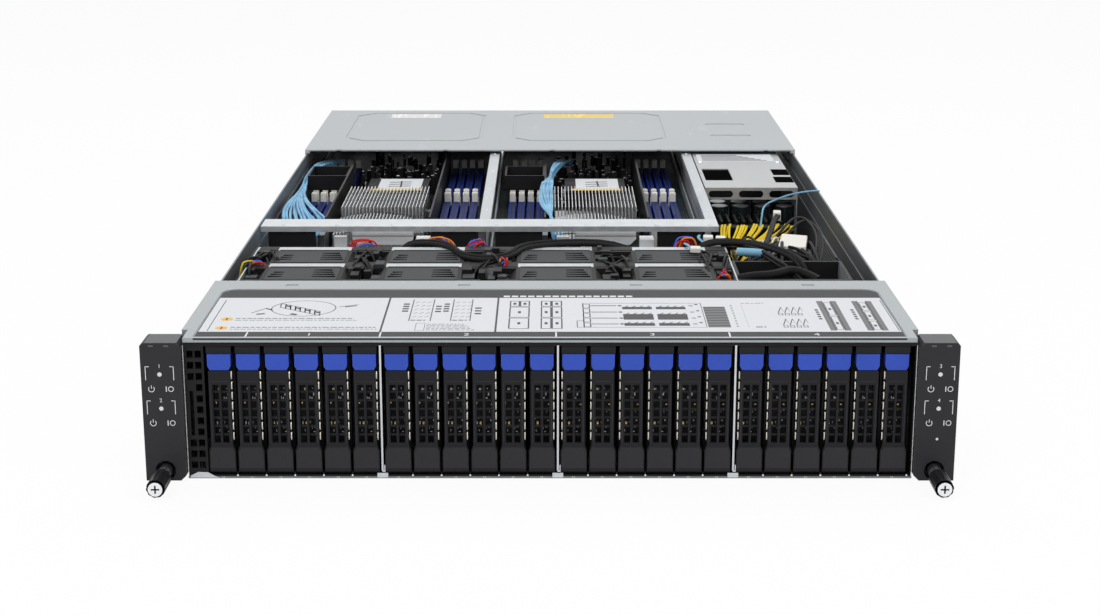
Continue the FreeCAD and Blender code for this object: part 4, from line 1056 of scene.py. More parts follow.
@dataclass
class Ear:
    """One ear with its printed key symbols."""

    side: int
    body: str
    numbers: tuple[str, str]
    centre: float = 230.2
    face: float = -22.0
    ink: float = 0.06
    stroke: float = 0.42
    tops: Flat = (71.3, 50.2)
    bracket_reach: float = 8.3
    bracket_lip: float = 2.2
    bracket_drop: float = 8.5
    lamp_drop: float = 5.0
    lamp_radius: float = 1.3
    key_drop: float = 14.0
    power_x: float = -5.2
    power_radius: float = 1.95
    power_gap: float = 0.24
    mark_x: float = 6.3
    mark_radius: float = 1.7
    reset_height: float = 26.2
    number_size: float = 3.3
    hook_spread: float = 4.5

    def __post_init__(self) -> None:
        """Start the piece of printed marks."""
        self.marks = Piece(f"ear_marks_{self.body}")

    @property
    def middle(self) -> float:
        """The ear's printed middle line."""
        return self.side * self.centre

    def bar(self, x: Span, z: Span) -> None:
        """A printed bar on the ear's face."""
        self.marks.box(x, (self.face - self.ink, self.face + 0.02), z, Ink.MARK)

    def dot(self, x: float, z: float, radius: float) -> None:
        """A printed dot."""
        self.marks.turned((x, self.face, z), [(radius, -self.ink), (radius, 0.02)], Ink.MARK, Axis.Y, 16)

    def ring(self, x: float, z: float, radius: float, gap: float) -> None:
        """A printed ring.

        Args:
            x: its middle across the ear.
            z: its middle's height.
            radius: of its outer edge.
            gap: the share of its turn that is open, at the top.
        """
        steps = 16
        inner = radius - self.stroke
        for k in range(steps):
            a, b = (2 * math.pi * (gap / 2 + (1 - gap) * (k + end) / steps) for end in (0, 1))
            corners = [(x + r * math.sin(t), z + r * math.cos(t))
                       for t, r in ((a, radius), (b, radius), (b, inner), (a, inner))]
            self.marks.prism(corners, self.face - self.ink, self.face + 0.02, Ink.MARK, Axis.Y)

    def brackets(self, top: float) -> None:
        """A square bracket on each side of one node's marks.

        Args:
            top: the height they start at.
        """
        half = self.stroke / 2
        for sign in (-1, 1):
            edge = self.middle + sign * self.bracket_reach
            inner = edge - sign * self.bracket_lip
            self.bar((edge - half, edge + half), (top - self.bracket_drop, top))
            self.bar((min(edge, inner), max(edge, inner)), (top - self.stroke, top))

    def key_marks(self, z: float) -> None:
        """The power mark, and the identity mark beside it.

        Args:
            z: the height of their middles.
        """
        power, mark = self.middle + self.power_x, self.middle + self.mark_x
        self.ring(power, z, self.power_radius, self.power_gap)
        self.bar((power - 0.2, power + 0.2), (z + 0.3, z + 2.3))
        self.bar((mark - 3.0, mark - 2.45), (z - 1.6, z + 1.6))
        self.ring(mark, z, self.mark_radius, 0.0)

    def symbols(self) -> None:
        """Brackets, status dots, key marks and numbers for two nodes."""
        for top in self.tops:
            self.brackets(top)
            self.dot(self.middle, top - self.lamp_drop, self.lamp_radius)
            self.key_marks(top - self.key_drop)
        if self.side > 0:
            self.dot(self.middle, self.reset_height, 0.8)
        self.marks.build("chassis", "ear_black")
        for text, top in zip(self.numbers, self.tops):
            lettering(f"ear_number_{text}", text, self.number_size, 0.03, "chassis",
                      (self.middle, self.face - 0.03, top - 1.0), (math.pi / 2, 0.0, 0.0))

    def top_cap(self) -> None:
        """The ear's flat top and the two small hooks of its lid."""
        part = Piece(f"ear_top_{self.body}")
        low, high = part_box(self.body)
        top = high.z / MM
        part.box((low.x / MM + 2.6, high.x / MM - 2.2), (self.face + 0.6, -2.2), (top - 0.05, top + 0.12),
                 Plastic.EAR_TOP)
        for x in (self.middle - self.hook_spread, self.middle + self.hook_spread):
            part.box((x - 1.4, x + 1.4), (self.face - 0.08, self.face + 0.4), (top - 2.2, top - 1.2),
                     Plastic.EAR_TOP)
        part.build("chassis", "ear_black")

    def build(self) -> None:
        """Make everything of one ear."""
        dress(Plastic.EAR, self.body)
        self.symbols()
        self.top_cap()


@dataclass
class Thumbscrew:
    """A captive screw: black knurled knob, bright head and grey sleeve."""

    node: str
    knurls: int = 22
    knurl_root: float = 5.0
    knurl_top: float = 5.55
    knob: Span = (1.6, 20.6)
    sleeve_front: float = -34.0
    rim: Outline = ((5.3, 0.0), (5.5, 0.5), (5.5, 1.6))
    sleeve: Outline = ((3.75, 0.0), (3.95, 0.8), (3.95, 8.0), (3.7, 8.6), (3.7, 11.6))

    def knurl(self) -> None:
        """Ribs round the knob and the rim in front of them, which turn with the screw."""
        x, _, z = middle(self.node)
        front, back = (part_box(self.node)[0].y / MM + part for part in self.knob)
        part = Piece(f"knurl_{self.node}")
        wide = math.pi / self.knurls * 0.5
        for k in range(self.knurls):
            turn = 2 * math.pi * k / self.knurls
            edges = ((-wide, self.knurl_root), (-wide * 0.6, self.knurl_top),
                     (wide * 0.6, self.knurl_top), (wide, self.knurl_root))
            outline = [(x + r * math.cos(turn + t), z + r * math.sin(turn + t)) for t, r in edges]
            part.prism(outline, front + 0.4, back - 0.4, Plastic.KNOB, Axis.Y)
        part.turned((x, front, z), self.rim, Plastic.KNOB, Axis.Y, 24)
        part.build(self.node, "screw_steel")

    def build(self) -> None:
        """Dress the screw, and add its knurl and the fixed sleeve behind it."""
        x, _, z = middle(self.node)
        dress(Plastic.KNOB, self.node)
        self.knurl()
        part = Piece(f"sleeve_{self.node}")
        part.turned((x, self.sleeve_front, z), self.sleeve, Steel.DARK, Axis.Y, 24)
        part.build("chassis", "screw_steel")


@dataclass
class DriveBays:
    """Twenty-four carriers with their springs, and the small fittings of the bay front."""

    front: float = -18.0
    pitch: float = 17.2
    spring_low: float = 24.0
    spring_count: int = 7
    spring_pitch: float = 6.3
    spring_shift: float = 14.1
    turned_from: int = 12
    drive_face: float = -3.95
    foot: Outline = ((-7.3, 6.4), (7.3, 6.4), (7.3, 16.8), (6.0, 19.6), (-6.0, 19.6), (-7.3, 16.8))
    divider_start: float = -100.3
    divider_pitch: float = 105.0
    half_width: float = 216.4
    tag: Outline = ((-215.5, 0.6), (-198, 0.6), (-201, 1.6), (-205, 3.9), (-211, 4.1),
                               (-215.5, 1.8))

    @property
    def carriers(self) -> list[str]:
        """The carriers' nodes, from the left."""
        return [f"drive_carrier_{k:02d}" for k in range(1, CARRIERS + 1)]

    def dress(self) -> None:
        """Finish the carriers, the loose lever and the loose latch."""
        dress(Plastic.CARRIER, *self.carriers)
        dress(Plastic.LEVER, "carrier_lever_01")
        dress(Plastic.LATCH, "carrier_latch_01")

    def spring_strip(self) -> bpy.types.Mesh:
        """The bright spring fingers along a carrier's side.

        Returns:
            Their mesh, drawn at X = 0.
        """
        part = Piece("spring_strip")
        for k in range(self.spring_count):
            base = self.spring_low + self.spring_pitch * k
            profile = [(self.front + 1.2, base), (self.front + 0.5, base + 1.2),
                       (self.front + 0.5, base + 3.6), (self.front + 1.2, base + 4.8)]
            back = [(y + 0.25, z) for y, z in reversed(profile)]
            part.prism(profile + back, 6.75, 7.35, Steel.SPRING, Axis.X)
        return part.mesh()

    def face_parts(self) -> bpy.types.Mesh:
        """Raised parts of a carrier's face: side rails, light guide window and lower plate.

        Returns:
            Their mesh, drawn at X = 0.
        """
        part = Piece("face_parts")
        y = self.front
        for rail in ((-5.95, -5.35), (5.35, 5.95)):
            part.box(rail, (y - 0.25, y + 0.3), (23.0, 60.0), Plastic.GLOSS)
        part.box((-5.4, 5.4), (y - 0.2, y + 0.3), (60.6, 61.2), Plastic.GLOSS)
        part.prism(self.foot, y - 0.15, y + 0.2, Plastic.GLOSS, Axis.Y)
        return part.mesh()

    def drive_end(self) -> bpy.types.Mesh:
        """What shows through the grille: the drive's end with its board, screws and pads, whose white and pale specks
        are partly painted glints.

        Returns:
            The end's mesh, drawn at X = 0.
        """
        part = Piece("drive_end")
        y = self.drive_face
        paints = (Ink.MARK, Ink.PALE, Steel.GOLD, Ink.GREY, Ink.MARK)
        part.box((-5.6, 5.6), (y, y + 0.1), (24.0, 58.0), Plastic.BLACK)
        # White and pale specks, partly painted glints seen through the grille.
        small = scattered(random.Random(5), 26, (-5.2, 4.2), (23, 52), (0.4, 1.1), (0.5, 2.2))
        for k, (x, z, wide, tall) in enumerate(small):
            part.box((x, x + wide), (y - 0.3, y), (z, z + tall), paints[k % len(paints)])
        return part.mesh()

    def divider(self, part: Piece, x: float) -> None:
        """A pale upright between two groups of bays, with its hooked foot.

        Args:
            part: the piece that takes it.
            x: its middle.
        """
        y = self.front
        part.box((x - 0.55, x + 0.55), (y - 0.25, y + 0.6), (5.0, 83.0), Ink.WHITE)
        for span, z in (((-0.2, 1.6), (4.2, 5.0)), ((1.0, 1.6), (5.0, 8.5)), ((-3.2, 3.2), (0.6, 3.4))):
            part.box((x + span[0], x + span[1]), (y - 0.3, y + 0.4), z, Ink.WHITE)

    def floor_parts(self) -> None:
        """Silver rivets and bay numbers along the bottom edge, dividers and the pull tag."""
        part = Piece("bay_fittings")
        y, half = self.front, self.half_width
        for name in self.carriers:
            x = middle(name)[0]
            part.turned((x + self.pitch / 2, y - 0.02, 2.0), [(0.55, -0.2), (0.7, 0.4)], Steel.BRIGHT,
                        Axis.Y, 10)
            for step in (-0.5, 0.5):
                part.box((x - 0.35 + step, x + 0.1 + step), (y - 0.05, y), (0.5, 1.1), Ink.MARK)
        for k in range(3):
            self.divider(part, self.divider_start + self.divider_pitch * k)
        part.box((-half, half), (y - 0.3, y + 0.5), (83.7, 84.75), Plastic.BLACK)
        for x in ((-half - 0.5, -half), (half, half + 0.5)):
            part.box(x, (y - 0.2, y + 0.6), (1.5, 83.0), Steel.BRIGHT)
        part.prism(self.tag, y - 0.5, y - 0.1, Ink.WHITE, Axis.Y)
        part.build("chassis", "zinc_steel")

    def build(self) -> None:
        """Make everything of this sub-assembly."""
        self.dress()
        spring, face, end = self.spring_strip(), self.face_parts(), self.drive_end()
        for k, name in enumerate(self.carriers):
            x = middle(name)[0]
            lever = "carrier_lever_01" if k == 0 else name
            shift = 0.0 if k < self.turned_from else -self.spring_shift
            stand(f"spring_{k + 1:02d}", spring, name, (x + shift, 0.0, 0.0))
            stand(f"face_{k + 1:02d}", face, lever, (x, 0.0, 0.0))
            stand(f"drive_end_{k + 1:02d}", end, name, (x, 0.0, 0.0))
        self.floor_parts()


@dataclass
class FrontCover:
    """The bay cover and the large printed guide in its pressed field."""

    plane: float = 87.0
    front: float = -18.05
    half_width: float = 210.4
    edge_half: float = 216.2
    near: float = -17.3
    far: float = 97.0
    corner: float = 9.0
    white_near: float = -2.8
    white_far: float = 77.0
    ink_height: Span = (0.06, 0.12)
    band_height: Span = (0.03, 0.09)
    bar_deep: float = 3.0
    oval: Flat = (-153.5, 51.0)
    oval_radii: Flat = (20.0, 18.5)
    sketch_lines: tuple = (((-184.5, 40), (-177, 51), 0.7), ((-177, 51), (-172.5, 47), 1.6),
                           ((-181, 37), (-176, 38.5), 2.4), ((-132, 54.4), (-120, 60.5), 0.7),
                           ((-128, 54.5), (-121, 57.5), 1.6), ((-160, 38), (-156, 36), 3.0))
    plans: Spans = ((-86.0, -73.0), (-60.6, -48.8))
    plan_bars: tuple = (((-91.8, -88.0), 43, 4, 5.6), ((-71.2, -67.6), 42, 3, 6.2),
                        ((-66.2, -62.8), 43, 4, 5.6), ((-46.6, -42.6), 37, 3, 6.6))
    table_rows: Spans = ((4.3, 28.0), (30.0, 54.0), (56.0, 68.7))
    layout_x: Span = (20.6, 94.5)
    layout_y: Span = (7.0, 63.5)
    slot_rows: Spans = ((10.5, 16.5), (24.5, 37.5), (49.0, 54.5))
    ring_rows: Places = (14.6, 28.0, 42.2, 57.4)
    port_y: Span = (0.0, 68.7)
    notes: Places = (25.6, 5.4)
    groups: Places = (-143.0, -49.6, 60.7, 158.4)
    group_marks: Places = (-180.2, -100.8, 3.6, 106.6)

    def __post_init__(self) -> None:
        """Start the printed guide."""
        self.label = Piece("printed_guide")

    @property
    def ink(self) -> Span:
        """Lower and upper face of the ink on the white film."""
        return self.plane + self.ink_height[0], self.plane + self.ink_height[1]

    @property
    def band_ink(self) -> Span:
        """Lower and upper face of the ink on the dark bands."""
        return self.plane + self.band_height[0], self.plane + self.band_height[1]

    def block(self, x: Span, y: Span, finish: Finish = Ink.LINE) -> None:
        """A printed block."""
        self.label.box(x, y, self.ink, finish)

    def stroke(self, start: Flat, end: Flat, width: float, finish: Finish = Ink.LINE) -> None:
        """A printed line."""
        self.label.line(start, end, width, self.ink, finish)

    def film(self) -> None:
        """The label's film: dark bands at the front and rear, and white between them."""
        w, c, far = self.half_width, self.corner, self.far
        rim = [(-w, self.near), (w, self.near), (w, far - c)]
        rim += [(w - c + c * math.cos(t), far - c + c * math.sin(t)) for t in (0.52, 1.05)]
        rim += [(w - c, far), (-w + c, far)]
        rim += [(-w + c - c * math.sin(t), far - c + c * math.cos(t)) for t in (0.52, 1.05)]
        rim += [(-w, far - c)]
        self.label.prism(rim, self.plane, self.plane + 0.04, Ink.BAND)
        self.label.box((-w + 0.6, w - 0.6), (self.white_near, self.white_far),
                       (self.plane, self.plane + 0.08), Ink.WHITE)

    def text(self, x: float, y: float, length: float, seed: int, finish: Finish) -> None:
        """A line of small print, drawn as short dashes.

        Args:
            x: where it starts.
            y: its near edge.
            length: of the whole line.
            seed: fixes the words' lengths.
            finish: its ink.
        """
        pick = random.Random(seed)
        end = x + length
        while x < end:
            word = pick.uniform(1.2, 4.2)
            self.block((x, min(x + word, end)), (y, y + 1.5), finish)
            x += word + 0.8

    def outline(self, points: Sequence[Flat], width: float) -> None:
        """A closed printed line through some points."""
        for start, end in zip(points, [*points[1:], points[0]]):
            self.stroke(start, end, width)

    def frame(self, x: Span, y: Span, width: float = 0.4) -> None:
        """A printed rectangle between two sides each way."""
        self.outline([(x[0], y[0]), (x[1], y[0]), (x[1], y[1]), (x[0], y[1])], width)

    def bars(self, x: Span, y: float, count: int, step: float) -> None:
        """A stack of short dark bars.

        Args:
            x: their ends.
            y: the first one's near edge.
            count: how many.
            step: from one to the next.
        """
        for k in range(count):
            self.block(x, (y + step * k, y + step * k + self.bar_deep))

    def spot(self, at: Flat, radius: float, finish: Finish) -> None:
        """A small printed disc."""
        self.label.turned((*at, 0.0), [(radius, height) for height in self.ink], finish, sides=8)

    def pull_out_sketch(self) -> None:
        """A small line drawing in an oval, with a loose part on each side."""
        steps = 28
        turns = [2 * math.pi * k / steps for k in range(steps)]
        self.outline([(self.oval[0] + self.oval_radii[0] * math.cos(t),
                       self.oval[1] + self.oval_radii[1] * math.sin(t)) for t in turns], 0.6)
        for k in range(8):
            x, y = -169.0 + 3.3 * k, 63.0 - 2.4 * k
            self.outline([(x, y), (x + 3.4, y - 2.4), (x + 4.2, y - 12.0), (x + 0.8, y - 9.6)], 0.7)
            if k % 2:
                self.label.prism([(x + 0.6, y - 2), (x + 3.2, y - 4), (x + 3.5, y - 7), (x + 0.9, y - 5)],
                           *self.ink, Ink.LINE)
        for start, end, width in self.sketch_lines:
            self.stroke(start, end, width)

    def board_plans(self) -> None:
        """Two plans of a node board between their stacks of small print."""
        for left, right in self.plans:
            for x in (left, right):
                self.stroke((x, 21.5), (x, 73.0), 0.6)
            for row in range(5):
                for column in range(3):
                    x, y = left + 1.6 + column * 3.8, 30 + row * 8.6
                    self.stroke((x, y), (x + 2.4, y + 3.0), 0.8, Ink.PALE)
            self.text(left + 1, 22.5, 9.0, 33, Ink.LINE)
        for stack in self.plan_bars:
            self.bars(*stack)
        for row in range(5):
            self.text(-74.5, 0.5 + row * 3.2, 29 - row * 1.5, 40 + row, Ink.PALE)
        self.frame((-81.0, -75.6), (0, 16.5), 0.3)

    def cell_table(self, x: Span, split: int) -> None:
        """A narrow table of three rows.

        Args:
            x: its left and right side.
            split: the first row that has two cells.
        """
        half = (x[0] + x[1]) / 2
        for row, (low, high) in enumerate(self.table_rows):
            cells = [(x[0], half - 0.4), (half + 0.4, x[1])] if row >= split else [x]
            for left, right in cells:
                self.frame((left, right), (low, high), 0.8)
                mid_x, mid_y = (left + right) / 2, (low + high) / 2
                self.block((mid_x - 0.9, mid_x + 0.9), (mid_y - 2.4, mid_y + 2.4))

    def layout_plan(self) -> None:
        """The plan of a board: slots, bars and ring marks."""
        left = self.layout_x[0]
        self.frame(self.layout_x, self.layout_y, 0.4)
        self.frame((16.5, left), (7.0, 22.0), 0.5)
        for k in range(5):
            self.frame((left, left + 4.0), (8 + k * 11, 17 + k * 11), 0.7)
        for y in self.ring_rows:
            self.stroke((25.3, y), (41.5, y), 1.3)
            self.spot((43.6, y), 1.4, Ink.LINE)
            self.spot((88.0, y), 1.6, Ink.PALE)
            self.spot((91.6, y + 3), 1.2, Ink.LINE)
        for low, high in self.slot_rows:
            for x in (45.0, 66.0):
                self.block((x, x + 18.5), (low, high))
                for k in range(4):
                    tooth = x + 2 + 4.6 * k
                    self.stroke((tooth, high), (tooth + 2, high + 2.6), 0.8)

    def hatched_block(self) -> None:
        """The dark hatched block beside the plan, with its lines of small print."""
        raised = (self.ink[0], self.ink[1] + 0.03)
        self.block((95.5, 109.0), (7.0, 55.0), Ink.BLOCK)
        for k in range(8):
            self.label.line((95.5, 10 + k * 6), (109.0, 11 + k * 6), 1.5, raised, Ink.LINE)
        for k in range(9):
            for x in ((112.6, 113.8), (119.6, 120.0)):
                self.block(x, (8 + k * 6, 11 + k * 6), Ink.PALE)
        self.text(120.0, 62.5, 14.0, 51, Ink.PALE)
        self.text(124.0, 7.0, 7.0, 52, Ink.LINE)

    def lamp_key(self) -> None:
        """A key of small lamp marks on branching lines."""
        for row in range(2):
            for column in range(4):
                x, y = 141.0 + column * 4.0, 12 + row * 28
                self.stroke((x, y), (x + 3.0, y + 14), 0.6)
                self.stroke((x + 3.0, y + 14), (x + 3.6, y + 4), 0.4, Ink.PALE)
                self.frame((x, x + 2.4), (y - 5, y - 1.0), 0.5)

    def port_table(self, left: float, cells: int) -> None:
        """A tall table with a dark column on each side, and its caption.

        Args:
            left: its left side.
            cells: how many cells it has.
        """
        columns = (((0.0, 3.0), Ink.BLOCK), ((9.4, 12.4), Ink.BLOCK), ((3.0, 3.8), Ink.LINE),
                   ((8.6, 9.4), Ink.LINE))
        for (start, end), finish in columns:
            self.block((left + start, left + end), self.port_y, finish)
        step = 66.0 / cells
        for k in range(cells):
            low = 2.0 + k * step
            self.frame((left + 4.2, left + 8.2), (low, low + step - 3), 0.5)
            self.block((left + 5.4, left + 7.0), (low + step / 2 - 4, low + step / 2))
        self.bars((left - 3.6, left - 1.6), 25, 5, 5.2)

    def bulleted_notes(self) -> None:
        """Two notes of small print, each behind an amber disc."""
        for k, y in enumerate(self.notes):
            self.label.turned((-197.3, y, self.plane), [(3.8, 0.06), (3.8, 0.13)], Ink.AMBER, sides=18)
            self.label.box((-197.8, -196.8), (y - 2.2, y + 2.2), (self.plane + 0.1, self.plane + 0.18),
                           Ink.LINE)
            self.text(-192.0, y + 0.8, 72.0 + 15 * k, 10 + k, Ink.GREY)
            self.text(-192.0, y - 3.2, 74.0 + 14 * k, 20 + k, Ink.PALE)

    def band_print(self) -> None:
        """White marks in the dark bands: group lines in front, and a row of letters behind."""
        for x in self.group_marks:
            self.label.line((x, self.near + 1), (x, self.white_near - 1), 1.0, self.band_ink, Ink.MARK)
        for k in range(16):
            self.label.box((-29.5 + 5.2 * k, -25.5 + 5.2 * k), (79.0, 82.4), self.band_ink, Ink.MARK)

    def guide(self) -> None:
        """The printed guide, as a separate label on the cover."""
        self.film()
        for x in (-self.half_width + 5.5, self.half_width - 1.6):
            self.block((x - 0.25, x + 0.25), (self.white_near + 2, self.white_far - 6))
        for x in (-101.4, -32.7):
            self.block((x - 0.6, x + 0.6), (self.white_near, self.white_far))
        self.pull_out_sketch()
        self.bulleted_notes()
        self.board_plans()
        self.cell_table((-24.8, -13.0), 2)
        self.cell_table((-5.3, 7.2), 0)
        self.layout_plan()
        self.hatched_block()
        self.lamp_key()
        self.port_table(168.0, 2)
        self.port_table(190.2, 3)
        self.band_print()
        self.label.build("front_cover", "cover_paint")
        for index, x in enumerate(self.groups):
            text = str(index + 1)
            lettering(f"group_number_{text}", text, 7.5, 0.02, "front_cover",
                      (x, -11.0, self.plane + 0.08))

    def lip(self) -> None:
        """The cover's folded front edge: light below, and dark in front of the printed band."""
        part = Piece("cover_edge")
        half, light = self.edge_half, (self.front, self.front + 0.45)
        top = (86.2, 87.45)
        part.box((-half, half), light, (84.8, 86.2), Steel.COVER)
        part.box((-self.half_width, self.half_width), (self.front, self.front + 0.85), top, Ink.BAND)
        for ends in ((-half, -self.half_width), (self.half_width, half)):
            part.box(ends, light, top, Steel.COVER)
        part.build("front_cover", "cover_paint")

    def build(self) -> None:
        """Make everything of this sub-assembly."""
        dress(Steel.COVER, "front_cover")
        self.guide()
        self.lip()


@dataclass
class RearCover:
    """The rear cover, whose two small stickers are part of its finish."""

    def build(self) -> None:
        """Finish the cover."""
        dress(Steel.REAR_COVER, "rear_cover")


@dataclass(frozen=True)
class LeadLoop:
    """A loop of coloured leads that rises out of a gap between fans."""

    start: Flat
    end: Flat
    top: float
    colours: Paints


@dataclass
class Fans:
    """Eight fans: ribbed tops, corner webs and leads with their connectors."""

    rows: Spans = ((141.0, 179.0), (190.5, 228.5))
    top: float = 82.2
    plate_half: float = 24.3
    slot_groups: tuple = ((-1, 13.0, 22.5, 3), (1, 7.0, 23.0, 4))
    slot_pitch: float = 6.0
    post_reach: float = 33.5
    post_steps: Places = (9.0, 19.0, 29.0)
    post: Outline = ((2.6, 0), (2.6, 9.6), (2.0, 10.4))
    gap_edges: Span = (-207.6, 125.0)
    strips: Spans = ((179.2, 190.3), (228.8, 239.3))
    mixed: Paints = (Cable.RED, Cable.NAVY, Cable.ORANGE, Cable.RED, Cable.NAVY, Cable.RED)
    rainbow: Paints = (Cable.RED, Cable.ORANGE, Cable.YELLOW, Cable.GREEN, Cable.NAVY)
    warm: Paints = (Cable.ORANGE, Cable.NAVY, Cable.RED, Cable.BLACK, Cable.ORANGE)
    lead_radius: float = 0.65
    lead_pitch: float = 1.1
    black_leads: Places = (-200, -128, -42, 44, 116)

    @property
    def columns(self) -> list[float]:
        """Middle of each fan column."""
        return [middle(f"fan_rotor_{k}")[0] for k in range(1, ROTORS + 1)]

    @property
    def loops(self) -> list[LeadLoop]:
        """The coloured loops, from the left."""
        return [LeadLoop((-213, 178), (-197, 184), 84.5, self.rainbow),
                LeadLoop((-146, 246), (-125, 250), 83.0, self.mixed),
                LeadLoop((-92, 252), (-66, 240), 84.0, self.warm),
                LeadLoop((-61, 238), (-44, 250), 84.0, self.mixed),
                LeadLoop((-36, 180), (-28, 196), 84.0, self.mixed),
                LeadLoop((90, 247), (107, 250), 84.5, self.mixed),
                LeadLoop((112, 150), (124, 156), 83.5, self.mixed)]

    def top_plate(self, part: Piece, x: float, y: Span) -> None:
        """The flat top of one fan: raised middle, finger slots and a rear rib.

        Args:
            part: the piece that takes it.
            x: the fan's middle.
            y: its near and far face.
        """
        near, far = y
        z, half = self.top, self.plate_half
        part.box((x - half, x + half), (near + 1.5, far - 1.5), (z, z + 0.3), Plastic.FAN)
        for sign, inner, outer, count in self.slot_groups:
            for k in range(count):
                row = near + 10 + k * self.slot_pitch
                start, end = x + sign * inner, x + sign * (outer - 1.3 * k)
                part.prism([(start, row), (end, row - 1.3), (end, row + 1.7), (start, row + 1.1)],
                           z + 0.25, z + 0.42, Plastic.SLOT)
        part.box((x - half, x + half), (far - 1.6, far - 0.6), (z, z + 0.7), Plastic.FAN)

    def corner_webs(self, part: Piece, x: float, y: Span) -> None:
        """Round posts and webs in the open corners of one fan.

        Args:
            part: the piece that takes them.
            x: the fan's middle.
            y: its near and far face.
        """
        near, far = y
        for sign in (-1, 1):
            for step in self.post_steps:
                part.turned((x + sign * self.post_reach, near + step, 68.5), self.post, Plastic.ROTOR,
                            sides=12)
            web = x + sign * (self.plate_half + 1.0)
            part.box((web - 0.6, web + 0.6), (near + 2, far - 2), (69, self.top + 0.1), Plastic.ROTOR)

    def gap_parts(self, part: Piece) -> None:
        """Black plugs, clips and covers that crowd the gaps between the columns.

        Args:
            part: the piece that takes them.
        """
        pick = random.Random(31)
        half = self.plate_half + 1.8
        first, last = self.gap_edges
        edges = [first] + [x + side for x in self.columns for side in (-half, half)] + [last]
        for low, high in zip(edges[::2], edges[1::2]):
            for strip in self.strips:
                part.box((low, high), strip, (self.top - 0.2, self.top + 0.3), Plastic.ROTOR)
            for near, far in self.rows:
                for _ in range(max(4, int((high - low) / 3.2))):
                    wide, deep = pick.uniform(3, 8), pick.uniform(4, 13)
                    x, y = pick.uniform(low, high - wide), pick.uniform(near + 1, far + 9 - deep)
                    part.box((x, x + wide), (y, y + deep), (70, pick.uniform(78.5, 85.0)),
                             Plastic.BLACK if pick.random() < 0.7 else Plastic.FAN)

    def coloured_leads(self, pick: random.Random) -> None:
        """Coloured leads that loop up out of the gaps.

        Args:
            pick: where their small turns come from.
        """
        foot = 66.0
        for index, loop in enumerate(self.loops):
            for k, colour in enumerate(loop.colours):
                lift, step = loop.top + pick.uniform(-2.5, 1.0), self.lead_pitch * k
                a, b = loop.start[0] + pick.uniform(-3, 5), loop.end[0] + pick.uniform(-5, 3)
                near, far = loop.start[1] + step, loop.end[1] + step
                route = [(a, near, foot), (a + 2, near, lift), ((a + b) / 2, near + 4, lift + 1.2),
                         (b - 2, far, lift), (b, far, foot)]
                wires(f"fan_lead_{index}_{k}", [route], self.lead_radius, colour, "chassis")

    def plain_leads(self, pick: random.Random) -> None:
        """Black leads over the gaps, from row to row.

        Args:
            pick: where their places come from.
        """
        spans = ((-12, 12), (-12, 12), (142, 200), (150, 215), (82, 86), (190, 236), (82, 86), (238, 248))
        routes = [[(x + a, y0, 72), (x + a, y1, z1), (x + b, y2, z2), (x + b, y3, 74)]
                  for x in self.black_leads
                  for a, b, y0, y1, z1, y2, z2, y3 in scattered(pick, 9, *spans)]
        wires("fan_leads_black", routes, 0.9, Cable.BLACK, "chassis")

    def build(self) -> None:
        """Make everything of this sub-assembly."""
        dress(Plastic.ROTOR, "fan_frames", *(f"fan_rotor_{k}" for k in range(1, ROTORS + 1)))
        part = Piece("fan_tops")
        for x in self.columns:
            for row in self.rows:
                self.top_plate(part, x, row)
                self.corner_webs(part, x, row)
        self.gap_parts(part)
        part.build("chassis", "fan_plastic")
        pick = random.Random(17)
        self.coloured_leads(pick)
        self.plain_leads(pick)


